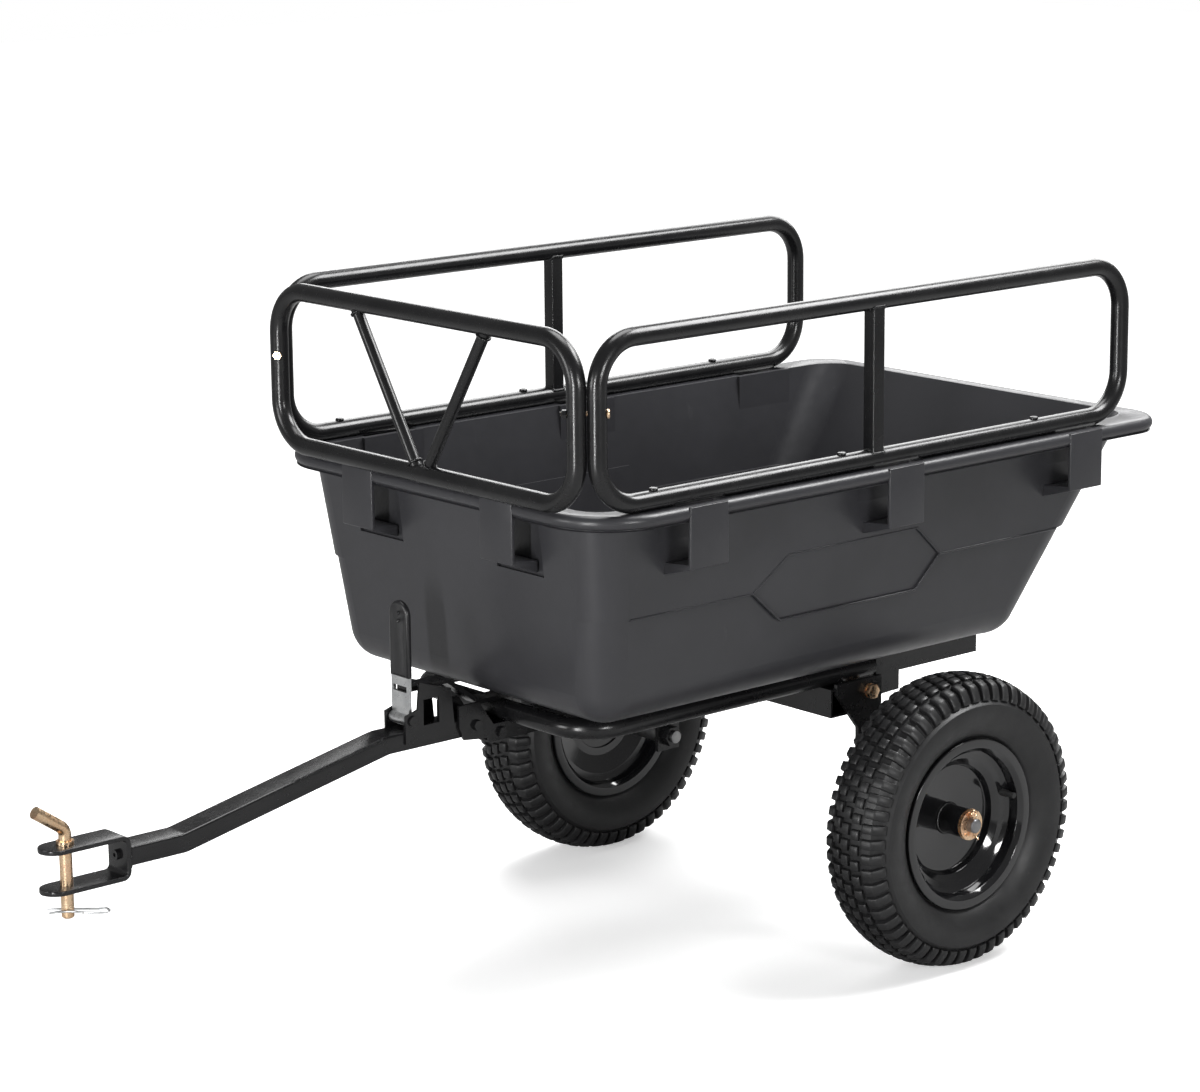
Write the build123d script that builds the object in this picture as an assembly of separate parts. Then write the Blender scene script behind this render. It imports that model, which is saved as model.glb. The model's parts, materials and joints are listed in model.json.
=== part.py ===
from build123d import *
import os
from math import atan2, cos, degrees, hypot, radians, sin

# Tow-behind dump cart, in millimetres. +X points forward to the hitch, +Y to the cart's left, +Z up.
# Everything is drawn with the wheel axis over x = 0 and the ground at z = 0, then shifted along X
# so that the origin lies on the ground under the middle of the whole length.

# ---- driving dimensions -------------------------------------------------------------------
# wheels
TYRE_R = 203.0
TYRE_W = 102.0
TYRE_WALL = 8.0
TREAD_DEPTH = 6.0
TREAD_COUNT = 34
RIM_FLANGE_R = 116.0
RIM_GAUGE = 2.5
BEAD_GAP = 0.4
DISC_R = 74.0
WHEEL_Y = 366.0
HUB_OUT = 36.0
HUB_IN = 48.0
HUB_OD = 40.0
HUB_WALL = 2.5
BEARING_W = 11.0
BEARING_FLANGE = 2.0
AXLE_D = 20.0
SHOULDER_D = 28.0
RUN_GAP = 0.05
FACE_GAP = 0.3

# axle brackets and cross beam
BRACKET_Y = 205.0
BRACKET_T = 6.0
PIVOT_Z = 353.0
PIVOT_D = 12.0
WASHER_R = 10.5
BEAM_X = 28.0
BEAM_L = 40.0
BEAM_H = 40.0
BEAM_WALL = 3.0

# bed frame
FRAME_D = 28.0
FRAME_WALL = 2.0
FRAME_Y = 182.0
FRAME_Z = 378.0
FRAME_FRONT = 492.0
FRAME_BEND_R = 55.0
FRAME_REAR = -30.0
REAR_BAR = 25.0
REAR_BAR_END = -232.0
EAR_T = 6.0
STRAP_W = 40.0
STRAP_GAUGE = 3.0
STRAP_X = (400.0, 140.0, -150.0)

# tub
TUB_FLOOR_Z = 406.0
TUB_TOP_Z = 700.0
TUB_WALL = 5.0
TUB_STEP_Z = 553.0
TUB_STEP = 6.0
TUB_FRONT = 608.5
TUB_REAR = -459.0
TUB_HALF = 349.5
TUB_LIP_W = 41.0
TUB_FRONT_LIP_W = 28.0
TUB_REAR_LIP_W = 24.0
TUB_LIP_H = 20.0
TUB_DRAFT = 0.10
TUB_FRONT_DRAFT = 0.125
TUB_FLOOR_REAR = -228.0
TUB_CORNER_R = 50.0
LIP_FRONT_R = 97.0
LIP_REAR_R = 60.0
PANEL_DEPTH = 3.0
POCKET_W = 94.0
POCKET_DEPTH = 46.0
POCKET_STRAP_W = 65.0
POCKET_STRAP_T = 5.0
POCKET_BOTTOM_Z = 600.0
POCKET_STRAP_Z = 622.0
SIDE_POCKET_X = (426.0, 71.0, -283.0)
FRONT_POCKET_Y = (-145.5, 145.5)

# rails
RAIL_D = 25.0
RAIL_WALL = 1.5
RAIL_TOP_Z = 922.5
RAIL_CORNER_R = 60.0
RAIL_Y = 325.7
RAIL_FRONT = 591.5
RAIL_REAR = -373.5
FRONT_RAIL_X = 610.5
FRONT_RAIL_HALF = 308.8
POST_X = 111.0
POST_SIZE = 20.0
BRACE_D = 16.0
BRACE_TOP_Y = 137.0
BRACE_FOOT_Y = 9.0
RAIL_BOLT_D = 6.0
RAIL_BOLT_X = (500.0, 170.0, -200.0)
CORNER_BOLT_Z = 833.0

# drawbar
BAR_W = 40.0
BAR_H = 25.0
BAR_WALL = 2.5
BAR_REAR = 530.0
BAR_BEND_REAR = 690.0
BAR_BEND_FRONT = 1010.0
BAR_FRONT = 1093.0
BAR_TOP_REAR = 378.5
BAR_TOP_FRONT = 314.0
JOIN_PLATE_T = 4.0
JOIN_BOLT_D = 8.0

# clevis, pin and clip
CLEVIS_W = 44.0
CLEVIS_T = 6.0
CLEVIS_GAP = 46.0
CLEVIS_REACH = 117.0
PIN_X = 1174.0
PIN_D = 16.0
PIN_CLEAR = 0.3
PIN_BELOW = 36.0
PIN_BEND_R = 14.0
PIN_HANDLE = 46.0
PIN_TILT = 55.0
CLIP_D = 3.0
CLIP_LEG = 30.0
CLIP_TAIL = 52.0

# dump latch
LEVER_X = 650.0
LEVER_T = 5.0
LEVER_W = 36.0
LEVER_TOP_Z = 551.0
GRIP_Z = 449.0
GRIP_WALL = 1.5
LEVER_PIVOT_Z = 392.5
LEVER_PIN_D = 8.0
STRIKER_W = 26.0
STRIKER_T = 6.0
STRIKER_Z = 430.0
CHEEK_T = 3.0

# ---- derived places -----------------------------------------------------------------------
HUB_Z = TYRE_R
FRAME_TOP = FRAME_Z + FRAME_D / 2
FRAME_BOTTOM = FRAME_Z - FRAME_D / 2
BEAM_TOP = FRAME_BOTTOM - FACE_GAP
RAIL_LOW_Z = TUB_TOP_Z + RAIL_D / 2
BAR_AXIS_REAR = BAR_TOP_REAR - BAR_H / 2
BAR_AXIS_FRONT = BAR_TOP_FRONT - BAR_H / 2
CLEVIS_MID = BAR_AXIS_FRONT
CLEVIS_TIP = BAR_FRONT + CLEVIS_REACH
PIN_TOP_ARM = CLEVIS_MID + CLEVIS_GAP / 2 + CLEVIS_T
PIN_LOW_ARM = CLEVIS_MID - CLEVIS_GAP / 2 - CLEVIS_T
HANDLE_TIP = PIN_X + PIN_HANDLE
AXLE_SHIFT = -(HANDLE_TIP + TUB_REAR) / 2


def at(x, y, z):
    return Location((x, y, z))


def along_y(radius, low, high, x=0.0, z=0.0):
    """A round bar along Y from y = low to y = high."""
    bar = Cylinder(radius, high - low, rotation=(90, 0, 0))
    return at(x, (low + high) / 2, z) * bar


def along_z(radius, low, high, x=0.0, y=0.0):
    """A round bar along Z from z = low to z = high."""
    return at(x, y, (low + high) / 2) * Cylinder(radius, high - low)


def box(low, high):
    """A box from its low corner to its high corner."""
    size = [b - a for a, b in zip(low, high)]
    centre = [(a + b) / 2 for a, b in zip(low, high)]
    return at(*centre) * Box(*size)


def side_plate(points, low, high):
    """A plate in the XZ plane, from y = low to y = high; points are (x, z)."""
    face = Polygon(*points, align=None)
    plane = Plane(origin=(0, high, 0), x_dir=(1, 0, 0), z_dir=(0, -1, 0))
    return extrude(plane * face, high - low, dir=(0, -1, 0))


def mirrored(part):
    """The same part on the cart's right side."""
    return mirror(part, about=Plane.XZ)


def hex_nut(flat, height, bore):
    """A hexagon nut standing on z = 0 with its axis along Z."""
    outline = RegularPolygon(radius=flat / 2, side_count=6, major_radius=False)
    return extrude(outline, height) - at(0, 0, height / 2) * Cylinder(bore / 2, height)


def hex_bolt(diameter, grip, head_h, flat, nut_h):
    """A bolt along Z: the head's underside is z = 0, the nut starts at z = -grip."""
    head = extrude(RegularPolygon(radius=flat / 2, side_count=6, major_radius=False), head_h)
    shank = along_z(diameter / 2, -grip - nut_h - 3, 0)
    nut = at(0, 0, -grip - nut_h) * hex_nut(flat, nut_h, diameter)
    return head + shank, nut


def round_bolt(diameter, grip, head_h, nut_h):
    """A round-headed bolt along Z, with the same datum as hex_bolt."""
    dome = at(0, 0, 0) * Cylinder(diameter, head_h, align=(Align.CENTER, Align.CENTER, Align.MIN))
    dome = fillet(dome.edges().sort_by(Axis.Z)[-1], head_h * 0.7)
    shank = along_z(diameter / 2, -grip - nut_h - 3, 0)
    nut = at(0, 0, -grip - nut_h) * hex_nut(diameter * 1.7, nut_h, diameter)
    return dome + shank, nut


def write(name, *solids):
    """Write one node: its solids, shifted to the part's own origin."""
    shift = at(AXLE_SHIFT, 0, 0)
    pieces = []
    for part in solids:
        pieces.extend((shift * part).solids())
    whole = pieces[0] if len(pieces) == 1 else Compound(children=pieces)
    export_step(whole, f"parts/{name}.step")


# ---- wheels: drawn with the wheel's middle plane at y = 0 and its axis along Y ------------
def revolved(points):
    """Turn a closed outline of (radius, y) points about the wheel axis."""
    return revolve(Polygon(*points, align=None), axis=Axis.Y)


def tyre():
    half = TYRE_W / 2
    seat_r = RIM_FLANGE_R - 13 + BEAD_GAP
    side_r = RIM_FLANGE_R + 36
    hook_r = RIM_FLANGE_R + RIM_GAUGE + BEAD_GAP
    crown_y = half * 0.80
    shoulder_r = TYRE_R - 9
    inner_r = shoulder_r - TYRE_WALL - 2
    toe_r = RIM_FLANGE_R - 6
    bead = [(seat_r, 24), (seat_r, 31.6), (seat_r + 4, 35.6), (RIM_FLANGE_R - 3.5, 35.6),
            (RIM_FLANGE_R - 0.5, 32.6), (hook_r, 32.6)]
    other = [(r, -y) for r, y in reversed(bead)]
    with BuildSketch(Plane.XY) as section:
        with BuildLine():
            Polyline(*bead)
            ThreePointArc(bead[-1], (side_r, half), (shoulder_r, crown_y))
            ThreePointArc((shoulder_r, crown_y), (TYRE_R, 0), (shoulder_r, -crown_y))
            ThreePointArc((shoulder_r, -crown_y), (side_r, -half), other[0])
            Polyline(*other)
            Line(other[-1], (toe_r, -16))
            deep = crown_y - TYRE_WALL
            ThreePointArc((toe_r, -16), (side_r, -half + TYRE_WALL + 2), (inner_r, -deep))
            ThreePointArc((inner_r, -deep), (TYRE_R - TYRE_WALL - 3, 0), (inner_r, deep))
            ThreePointArc((inner_r, deep), (side_r, half - TYRE_WALL - 2), (toe_r, 16))
            Line((toe_r, 16), bead[0])
        make_face()
    body = revolve(section.sketch, axis=Axis.Y)
    floor_r = TYRE_R - TREAD_DEPTH
    for y in (-13.0, 13.0):
        ring = along_y(TYRE_R + 5, y - 2.5, y + 2.5) - along_y(floor_r, y - 3, y + 3)
        body -= ring
    slots = []
    for i in range(TREAD_COUNT):
        for side in (-1, 1):
            turn = 360.0 * (i + 0.25 * side) / TREAD_COUNT
            slot = at(TYRE_R, side * (half - 8), 0) * Box(15, 36, 11)
            slots.append(Rot(0, turn, 0) * slot)
    return body - slots


def rim_outer():
    g = RIM_GAUGE
    f = RIM_FLANGE_R
    barrel = revolved([
        (f, 33), (f, 36), (f - 9, 36), (f - 13, 32), (f - 13, 12), (f - 24, 8),
        (f - 28, -4), (DISC_R, -6), (HUB_OD / 2, -6), (HUB_OD / 2, -6 + g), (DISC_R, -6 + g),
        (DISC_R + 3, 6), (DISC_R + 12, 12), (f - 22, 14), (f - 16, 18), (f - 16, 33),
        (f - 10, 39), (f + g, 39), (f + g, 33)])
    stem_hole = along_y(5.3, -30, 40, x=-(DISC_R + 16), z=22)
    return barrel - stem_hole


def rim_inner():
    g = RIM_GAUGE
    f = RIM_FLANGE_R
    joint = -6
    return revolved([
        (f, -33), (f, -36), (f - 9, -36), (f - 13, -32), (f - 13, -14), (f - 26, -12),
        (DISC_R - 10, joint), (DISC_R - 24, joint), (DISC_R - 24, joint - g),
        (DISC_R - 12, joint - g), (f - 28, -17), (f - 16, -19), (f - 16, -33),
        (f - 10, -39), (f + g, -39), (f + g, -33)])


def hub():
    r = HUB_OD / 2
    tube = along_y(r, -HUB_IN, HUB_OUT) - along_y(r - 6, -HUB_IN, HUB_OUT)
    seat_r = r - HUB_WALL
    for low, high in ((-HUB_IN, -HUB_IN + BEARING_W), (HUB_OUT - BEARING_W, HUB_OUT)):
        tube -= along_y(seat_r, low, high)
    return tube


def bearing(y, out):
    """A flanged wheel bearing with its outer end at y; out is +1 or -1."""
    seat_r = HUB_OD / 2 - HUB_WALL
    bore = AXLE_D / 2 + RUN_GAP
    near = y - out * BEARING_W
    body = along_y(seat_r, min(near, y), max(near, y))
    edge = y + out * BEARING_FLANGE
    body += along_y(HUB_OD / 2 + 1.5, min(y, edge), max(y, edge))
    low, high = min(near, edge), max(near, edge)
    groove = along_y(seat_r - 3.5, low, high) - along_y(AXLE_D / 2 + 3, low, high)
    inset = 1.5
    race_gap = groove & along_y(seat_r, high - inset if out > 0 else low, high if out > 0 else low + inset)
    return body - along_y(bore, low, high) - race_gap


def valve_stem():
    x = -(DISC_R + 16)
    stem = along_y(5.0, -8, 24, x=x, z=22)
    cap = along_y(4.0, 24, 36, x=x, z=22)
    collar = along_y(7.5, -11, -8, x=x, z=22)
    return stem + cap + collar


def wheel_nodes(side, place):
    inner_face = -HUB_IN
    pieces = {
        "tyre": [tyre()],
        "rim_outer": [rim_outer()],
        "rim_inner": [rim_inner()],
        "hub": [hub()],
        "bearings": [bearing(HUB_OUT, 1), bearing(inner_face, -1)],
        "valve_stem": [valve_stem()],
    }
    for name, solids in pieces.items():
        write(f"{side}_{name}", *[place(at(0, WHEEL_Y, HUB_Z) * part) for part in solids])


# ---- axle brackets, stub axles and cross beam ----------------------------------------------
def bracket_outline():
    z = PIVOT_Z
    return [(62, z + 18), (62, z + 3), (21, z - 50), (21, HUB_Z - 22), (-21, HUB_Z - 22),
            (-21, z - 50), (-24, z - 36), (-24, z + 18)]


def axle_bracket():
    plate = side_plate(bracket_outline(), BRACKET_Y, BRACKET_Y + BRACKET_T)
    plate -= along_y(PIVOT_D / 2 + 0.2, BRACKET_Y - 1, BRACKET_Y + BRACKET_T + 1, z=PIVOT_Z)
    return plate - along_y(9.1, BRACKET_Y - 1, BRACKET_Y + BRACKET_T + 1, z=HUB_Z)


SHOULDER_END = WHEEL_Y - HUB_IN - BEARING_FLANGE - FACE_GAP
WASHER_T = 3.0
HUB_FACE = WHEEL_Y + HUB_OUT + BEARING_FLANGE
AXLE_END = HUB_FACE + FACE_GAP + WASHER_T + 10


def stub_axle():
    outer = BRACKET_Y + BRACKET_T
    shaft = along_y(AXLE_D / 2, SHOULDER_END, AXLE_END, z=HUB_Z)
    shaft = chamfer(shaft.edges().sort_by(Axis.Y)[-1], 1.5)
    shoulder = along_y(SHOULDER_D / 2, outer, SHOULDER_END, z=HUB_Z)
    stud = along_y(9.0, BRACKET_Y - 17, outer, z=HUB_Z)
    whole = shaft + shoulder + stud
    return whole - along_z(2.3, HUB_Z - 20, HUB_Z + 20, y=AXLE_END - 5)


def axle_washer():
    low = HUB_FACE + FACE_GAP
    high = low + WASHER_T
    return along_y(21, low, high, z=HUB_Z) - along_y(AXLE_D / 2 + RUN_GAP, low, high, z=HUB_Z)


def axle_nut():
    nut = Rot(90, 0, 0) * hex_nut(27, 12, 18)
    return at(0, BRACKET_Y, HUB_Z) * nut


def cotter_pin():
    y = AXLE_END - 5
    leg = along_z(2.0, HUB_Z - 16, HUB_Z + 11, y=y)
    eye = Torus(4.2, 2.0)
    eye = at(0, y, HUB_Z + 16.5) * (Rot(90, 0, 0) * eye)
    tail = at(0, y + 3.2, HUB_Z - 15) * (Rot(60, 0, 0) * Cylinder(1.6, 10))
    return leg + eye + tail


def cross_beam():
    half = BRACKET_Y
    low = BEAM_TOP - BEAM_H
    w = BEAM_WALL
    beam = box((BEAM_X, -half, low), (BEAM_X + BEAM_L, half, BEAM_TOP))
    return beam - box((BEAM_X + w, -half - 1, low + w), (BEAM_X + BEAM_L - w, half + 1, BEAM_TOP - w))


def pivot_bolt():
    outer = BRACKET_Y + BRACKET_T
    inner = FRAME_Y - EAR_T / 2
    washer_t = 2.5
    grip = outer + washer_t + FACE_GAP + washer_t - inner
    bolt, nut = hex_bolt(PIVOT_D, grip, 8, 19, 10)
    turn = at(0, outer + washer_t, PIVOT_Z) * Rot(-90, 0, 0)
    return turn * bolt, turn * nut


def pivot_washers():
    outer = BRACKET_Y + BRACKET_T
    inner = FRAME_Y - EAR_T / 2
    t = 2.5
    bore = PIVOT_D / 2
    rings = []
    for low in (outer, inner - FACE_GAP - t):
        ring = along_y(WASHER_R, low, low + t, z=PIVOT_Z) - along_y(bore, low, low + t, z=PIVOT_Z)
        rings.append(ring)
    low = FRAME_Y + EAR_T / 2 + FACE_GAP
    sleeve = along_y(10, low, BRACKET_Y, z=PIVOT_Z) - along_y(bore, low, BRACKET_Y, z=PIVOT_Z)
    return rings + [sleeve]


# ---- drawbar ------------------------------------------------------------------------------
def bar_run(half_w, half_h):
    """The bent drawbar as a solid of the given half width and half height."""
    top = [(BAR_REAR, BAR_AXIS_REAR), (BAR_BEND_REAR, BAR_AXIS_REAR),
           (BAR_BEND_FRONT, BAR_AXIS_FRONT), (BAR_FRONT, BAR_AXIS_FRONT)]
    slope = atan2(BAR_AXIS_FRONT - BAR_AXIS_REAR, BAR_BEND_FRONT - BAR_BEND_REAR)
    lean = half_h * (1 / cos(slope) - 1) / sin(abs(slope)) if half_h else 0
    upper = [(x + (lean if 0 < i < 3 else 0), z + half_h) for i, (x, z) in enumerate(top)]
    lower = [(x - (lean if 0 < i < 3 else 0), z - half_h) for i, (x, z) in enumerate(top)]
    return side_plate(upper + lower[::-1], -half_w, half_w)


def bolt_holes(points, radius, half):
    return [along_y(radius, -half, half, x=x, z=z) for x, z in points]


def join_bolts_xz():
    return [(BAR_REAR + 17, BAR_AXIS_REAR + 2), (BAR_REAR - 25, BEAM_TOP - BAR_H / 2)]


def drawbar():
    tube = bar_run(BAR_W / 2, BAR_H / 2) - bar_run(BAR_W / 2 - BAR_WALL, BAR_H / 2 - BAR_WALL)
    nose = box((BAR_FRONT - 4, -BAR_W / 2, BAR_AXIS_FRONT - BAR_H / 2),
               (BAR_FRONT, BAR_W / 2, BAR_AXIS_FRONT + BAR_H / 2))
    tube += nose
    hole = at(BAR_FRONT - 10, 0, CLEVIS_MID) * (Rot(0, 90, 0) * Cylinder(JOIN_BOLT_D / 2, 30))
    holes = bolt_holes(join_bolts_xz()[:1], JOIN_BOLT_D / 2 + 0.2, BAR_W)
    return tube - hole - holes


def chassis_beam():
    """The straight tube under the bed, from the cross beam to the drawbar's joint plates."""
    w = BAR_WALL
    rear = BEAM_X + BEAM_L
    front = BAR_REAR - 6
    low = BEAM_TOP - BAR_H
    tube = box((rear, -BAR_W / 2, low), (front, BAR_W / 2, BEAM_TOP))
    tube -= box((rear - 1, -BAR_W / 2 + w, low + w), (front + 1, BAR_W / 2 - w, BEAM_TOP - w))
    return tube - bolt_holes(join_bolts_xz()[1:], JOIN_BOLT_D / 2 + 0.2, BAR_W)


def joint_plates():
    low = BEAM_TOP - BAR_H
    rise = BAR_TOP_REAR + 20
    outline = [(BAR_REAR - 70, low), (BAR_REAR + 38, low + 12), (BAR_REAR + 46, low + 30),
               (BAR_REAR + 46, rise), (BAR_REAR + 12, rise), (BAR_REAR - 12, BEAM_TOP),
               (BAR_REAR - 70, BEAM_TOP)]
    plates = []
    for low_y in (BAR_W / 2, -BAR_W / 2 - JOIN_PLATE_T):
        plate = side_plate(outline, low_y, low_y + JOIN_PLATE_T)
        plates.append(plate - bolt_holes(join_bolts_xz(), JOIN_BOLT_D / 2 + 0.2, BAR_W))
    return plates


def joint_bolts():
    solids = []
    half = BAR_W / 2 + JOIN_PLATE_T
    for x, z in join_bolts_xz():
        bolt, nut = hex_bolt(JOIN_BOLT_D, 2 * half, 5, 13, 6.5)
        place = at(x, half, z) * Rot(-90, 0, 0)
        solids += [place * bolt, place * nut]
    return solids


# ---- clevis, hitch pin and hairpin clip ---------------------------------------------------
def clevis():
    half = CLEVIS_GAP / 2
    w = CLEVIS_W / 2
    web = box((BAR_FRONT, -w, CLEVIS_MID - half - CLEVIS_T),
              (BAR_FRONT + CLEVIS_T, w, CLEVIS_MID + half + CLEVIS_T))
    body = web
    for low in (CLEVIS_MID + half, CLEVIS_MID - half - CLEVIS_T):
        arm = box((BAR_FRONT, -w, low), (CLEVIS_TIP - w, w, low + CLEVIS_T))
        arm += along_z(w, low, low + CLEVIS_T, x=CLEVIS_TIP - w)
        body += arm
    body -= along_z(PIN_D / 2 + PIN_CLEAR, PIN_LOW_ARM - 1, PIN_TOP_ARM + 1, x=PIN_X)
    hole = at(BAR_FRONT, 0, CLEVIS_MID) * (Rot(0, 90, 0) * Cylinder(JOIN_BOLT_D / 2, 30))
    return body - hole


def clevis_screw():
    x = BAR_FRONT + CLEVIS_T
    head = at(x + 2.5, 0, CLEVIS_MID) * (Rot(0, 90, 0) * Cylinder(6.5, 5))
    head -= at(x + 4, 0, CLEVIS_MID) * (Rot(0, 90, 0) * extrude(RegularPolygon(3, 6), 3, both=True))
    shank = at(x - 11, 0, CLEVIS_MID) * (Rot(0, 90, 0) * Cylinder(JOIN_BOLT_D / 2, 22))
    return head + shank


def hitch_pin():
    low = PIN_LOW_ARM - PIN_BELOW
    bend_z = PIN_TOP_ARM + 12
    tilt = radians(PIN_TILT)
    run = (PIN_HANDLE - PIN_D / 2 * cos(tilt) - PIN_BEND_R * (1 - cos(tilt))) / sin(tilt)
    with BuildLine() as path:
        straight = Line((PIN_X, 0, low), (PIN_X, 0, bend_z))
        mid = tilt / 2
        start = Vector(PIN_X + PIN_BEND_R, 0, bend_z)
        arc = ThreePointArc(straight @ 1,
                            start + Vector(-PIN_BEND_R * cos(mid), 0, PIN_BEND_R * sin(mid)),
                            start + Vector(-PIN_BEND_R * cos(tilt), 0, PIN_BEND_R * sin(tilt)))
        Line(arc @ 1, (arc @ 1) + Vector(sin(tilt), 0, cos(tilt)) * run)
    circle = Plane(origin=(PIN_X, 0, low), z_dir=(0, 0, 1)) * Circle(PIN_D / 2)
    pin = sweep(circle, path=path.line)
    pin = chamfer(pin.edges().sort_by(Axis.Z)[0], 2.0)
    collar = along_z(PIN_D / 2 + 3, PIN_TOP_ARM + 0.3, PIN_TOP_ARM + 5, x=PIN_X)
    across = at(PIN_X, 0, low + 11) * (CLIP_TURN * (Rot(0, 90, 0) * Cylinder(CLIP_D / 2 + 0.3, 40)))
    return pin + collar - across


CLIP_TURN = Rot(0, 0, 139)


def hairpin_clip():
    """A hairpin clip lying level: one straight leg through the pin, one bowed leg outside it."""
    r = CLIP_D / 2
    bow = PIN_D / 2 + r + 0.4
    loop_r = 7.0
    with BuildLine() as path:
        leg = Line((-CLIP_LEG, 0, 0), (CLIP_TAIL - 2 * loop_r, 0, 0))
        mid = CLIP_TAIL - loop_r
        turn = ThreePointArc(leg @ 1, (mid + loop_r, -loop_r, 0), (mid, -2 * loop_r - 1, 0))
        far = turn @ 1
        Polyline(far, (PIN_D / 2 + 13, far.Y, 0), (PIN_D / 2, -bow, 0), (-PIN_D / 2, -bow, 0),
                 (-PIN_D / 2 - 13, far.Y, 0))
    wire = path.line
    circle = Plane(origin=(-CLIP_LEG, 0, 0), z_dir=(1, 0, 0)) * Circle(r)
    body = sweep(circle, path=wire, transition=Transition.ROUND)
    return body


def clip_place(part):
    low = PIN_LOW_ARM - PIN_BELOW
    return at(PIN_X, 0, low + 11) * (CLIP_TURN * part)


# ---- bed frame ----------------------------------------------------------------------------
def tube_along(path, outer, wall, start, direction):
    plane = Plane(origin=start, z_dir=direction)
    ring = plane * (Circle(outer / 2) - Circle(outer / 2 - wall))
    return sweep(ring, path=path)


def bed_tube():
    z = FRAME_Z
    r = FRAME_BEND_R
    with BuildLine() as path:
        FilletPolyline((FRAME_REAR, FRAME_Y, z), (FRAME_FRONT, FRAME_Y, z),
                       (FRAME_FRONT, -FRAME_Y, z), (FRAME_REAR, -FRAME_Y, z), radius=r)
    return tube_along(path.line, FRAME_D, FRAME_WALL, (FRAME_REAR, FRAME_Y, z), (1, 0, 0))


def rear_bars():
    """Two square tubes behind the pivots and the cross tube that joins them."""
    half = REAR_BAR / 2
    wall = 2.0
    bars = []
    for side in (-1, 1):
        y = side * FRAME_Y
        bar = box((REAR_BAR_END, y - half, FRAME_Z - half), (FRAME_REAR, y + half, FRAME_Z + half))
        bar -= box((REAR_BAR_END - 1, y - half + wall, FRAME_Z - half + wall),
                   (FRAME_REAR + 1, y + half - wall, FRAME_Z + half - wall))
        bars.append(bar)
    inner = FRAME_Y - half
    x = REAR_BAR_END + 10
    cross = box((x, -inner, FRAME_Z - half), (x + REAR_BAR, inner, FRAME_Z + half))
    cross -= box((x + wall, -inner - 1, FRAME_Z - half + wall),
                 (x + REAR_BAR - wall, inner + 1, FRAME_Z + half - wall))
    return bars + [cross]


def hinge_ear():
    z = PIVOT_Z
    outline = [(22, FRAME_Z - 8), (24, z - 6), (12, z - 18), (-30, z - 20), (-85, z - 18),
               (-85, FRAME_Z - 8)]
    low = FRAME_Y - EAR_T / 2
    ear = side_plate(outline, low, low + EAR_T)
    ear -= along_y(PIVOT_D / 2 + RUN_GAP, low - 1, low + EAR_T + 1, z=PIVOT_Z)
    ear -= Location((200, FRAME_Y, FRAME_Z)) * (Rot(0, 90, 0) * Cylinder(FRAME_D / 2, 600))
    half = REAR_BAR / 2
    ear -= box((REAR_BAR_END, FRAME_Y - half, FRAME_Z - half), (FRAME_REAR, FRAME_Y + half, FRAME_Z + half))
    return largest(ear)


def cross_strap(x):
    """A top-hat strap over the frame tubes, under the tub's floor."""
    end = FRAME_Y + 10
    half = STRAP_W / 2
    g = STRAP_GAUGE
    body = box((x - half, -end, FRAME_TOP), (x + half, end, TUB_FLOOR_Z))
    body -= box((x - half + g, -end - 1, FRAME_TOP - 1), (x + half - g, end + 1, TUB_FLOOR_Z - g))
    return body


def strap_bolt_places():
    return [(x, side * (FRAME_Y - 60)) for x in STRAP_X for side in (-1, 1)]


def strap_with_holes(x):
    strap = cross_strap(x)
    for bx, by in strap_bolt_places():
        if bx == x:
            strap -= along_z(4.2, FRAME_TOP - 1, TUB_FLOOR_Z + 1, x=bx, y=by)
    return strap


def tub_bolts():
    solids = []
    for x, y in strap_bolt_places():
        bolt, nut = round_bolt(8, TUB_WALL + STRAP_GAUGE, 4, 6)
        place = at(x, y, TUB_FLOOR_Z + TUB_WALL)
        solids += [place * bolt, place * nut]
    return solids


def striker():
    """The arm on the bed's front tube that the latch lever holds down."""
    low = FRAME_TOP
    t = STRIKER_T
    rise = STRIKER_Z
    x0 = FRAME_FRONT - 12
    x1 = FRAME_FRONT + 42
    x2 = FRAME_FRONT + 92
    x3 = LEVER_X - FACE_GAP
    outline = [(x0, low), (x1, low), (x2 + 2, rise), (x3, rise), (x3, rise + t), (x2, rise + t),
               (x1 - 2, low + t), (x0, low + t)]
    half = STRIKER_W / 2
    return side_plate(outline, -half, half)


# ---- dump latch ---------------------------------------------------------------------------
def latch_lever():
    half = LEVER_W / 2
    x = LEVER_X
    blade = box((x, -half, LEVER_PIVOT_Z - 8), (x + LEVER_T, half, LEVER_TOP_Z - half - GRIP_WALL))
    cap = at(x + LEVER_T / 2, 0, LEVER_TOP_Z - half - GRIP_WALL) * (Rot(0, 90, 0) * Cylinder(half, LEVER_T))
    knuckle = along_y(8, -half, half, x=x + LEVER_T / 2, z=LEVER_PIVOT_Z)
    body = blade + cap + knuckle
    body -= along_y(LEVER_PIN_D / 2 + RUN_GAP, -half - 1, half + 1, x=x + LEVER_T / 2, z=LEVER_PIVOT_Z)
    slack = 1.0
    window = box((x - 1, -STRIKER_W / 2 - slack, STRIKER_Z - slack),
                 (x + LEVER_T + 1, STRIKER_W / 2 + slack, STRIKER_Z + STRIKER_T + slack))
    return body - window


def lever_grip():
    half = LEVER_W / 2
    x = LEVER_X
    g = GRIP_WALL
    mid = x + LEVER_T / 2
    top = LEVER_TOP_Z - half - g
    outer = box((x - g, -half - g, GRIP_Z), (x + LEVER_T + g, half + g, top))
    outer += at(mid, 0, top) * (Rot(0, 90, 0) * Cylinder(half + g, LEVER_T + 2 * g))
    inner = box((x, -half, GRIP_Z - 1), (x + LEVER_T, half, top))
    inner += at(mid, 0, top) * (Rot(0, 90, 0) * Cylinder(half, LEVER_T))
    return outer - inner


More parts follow.
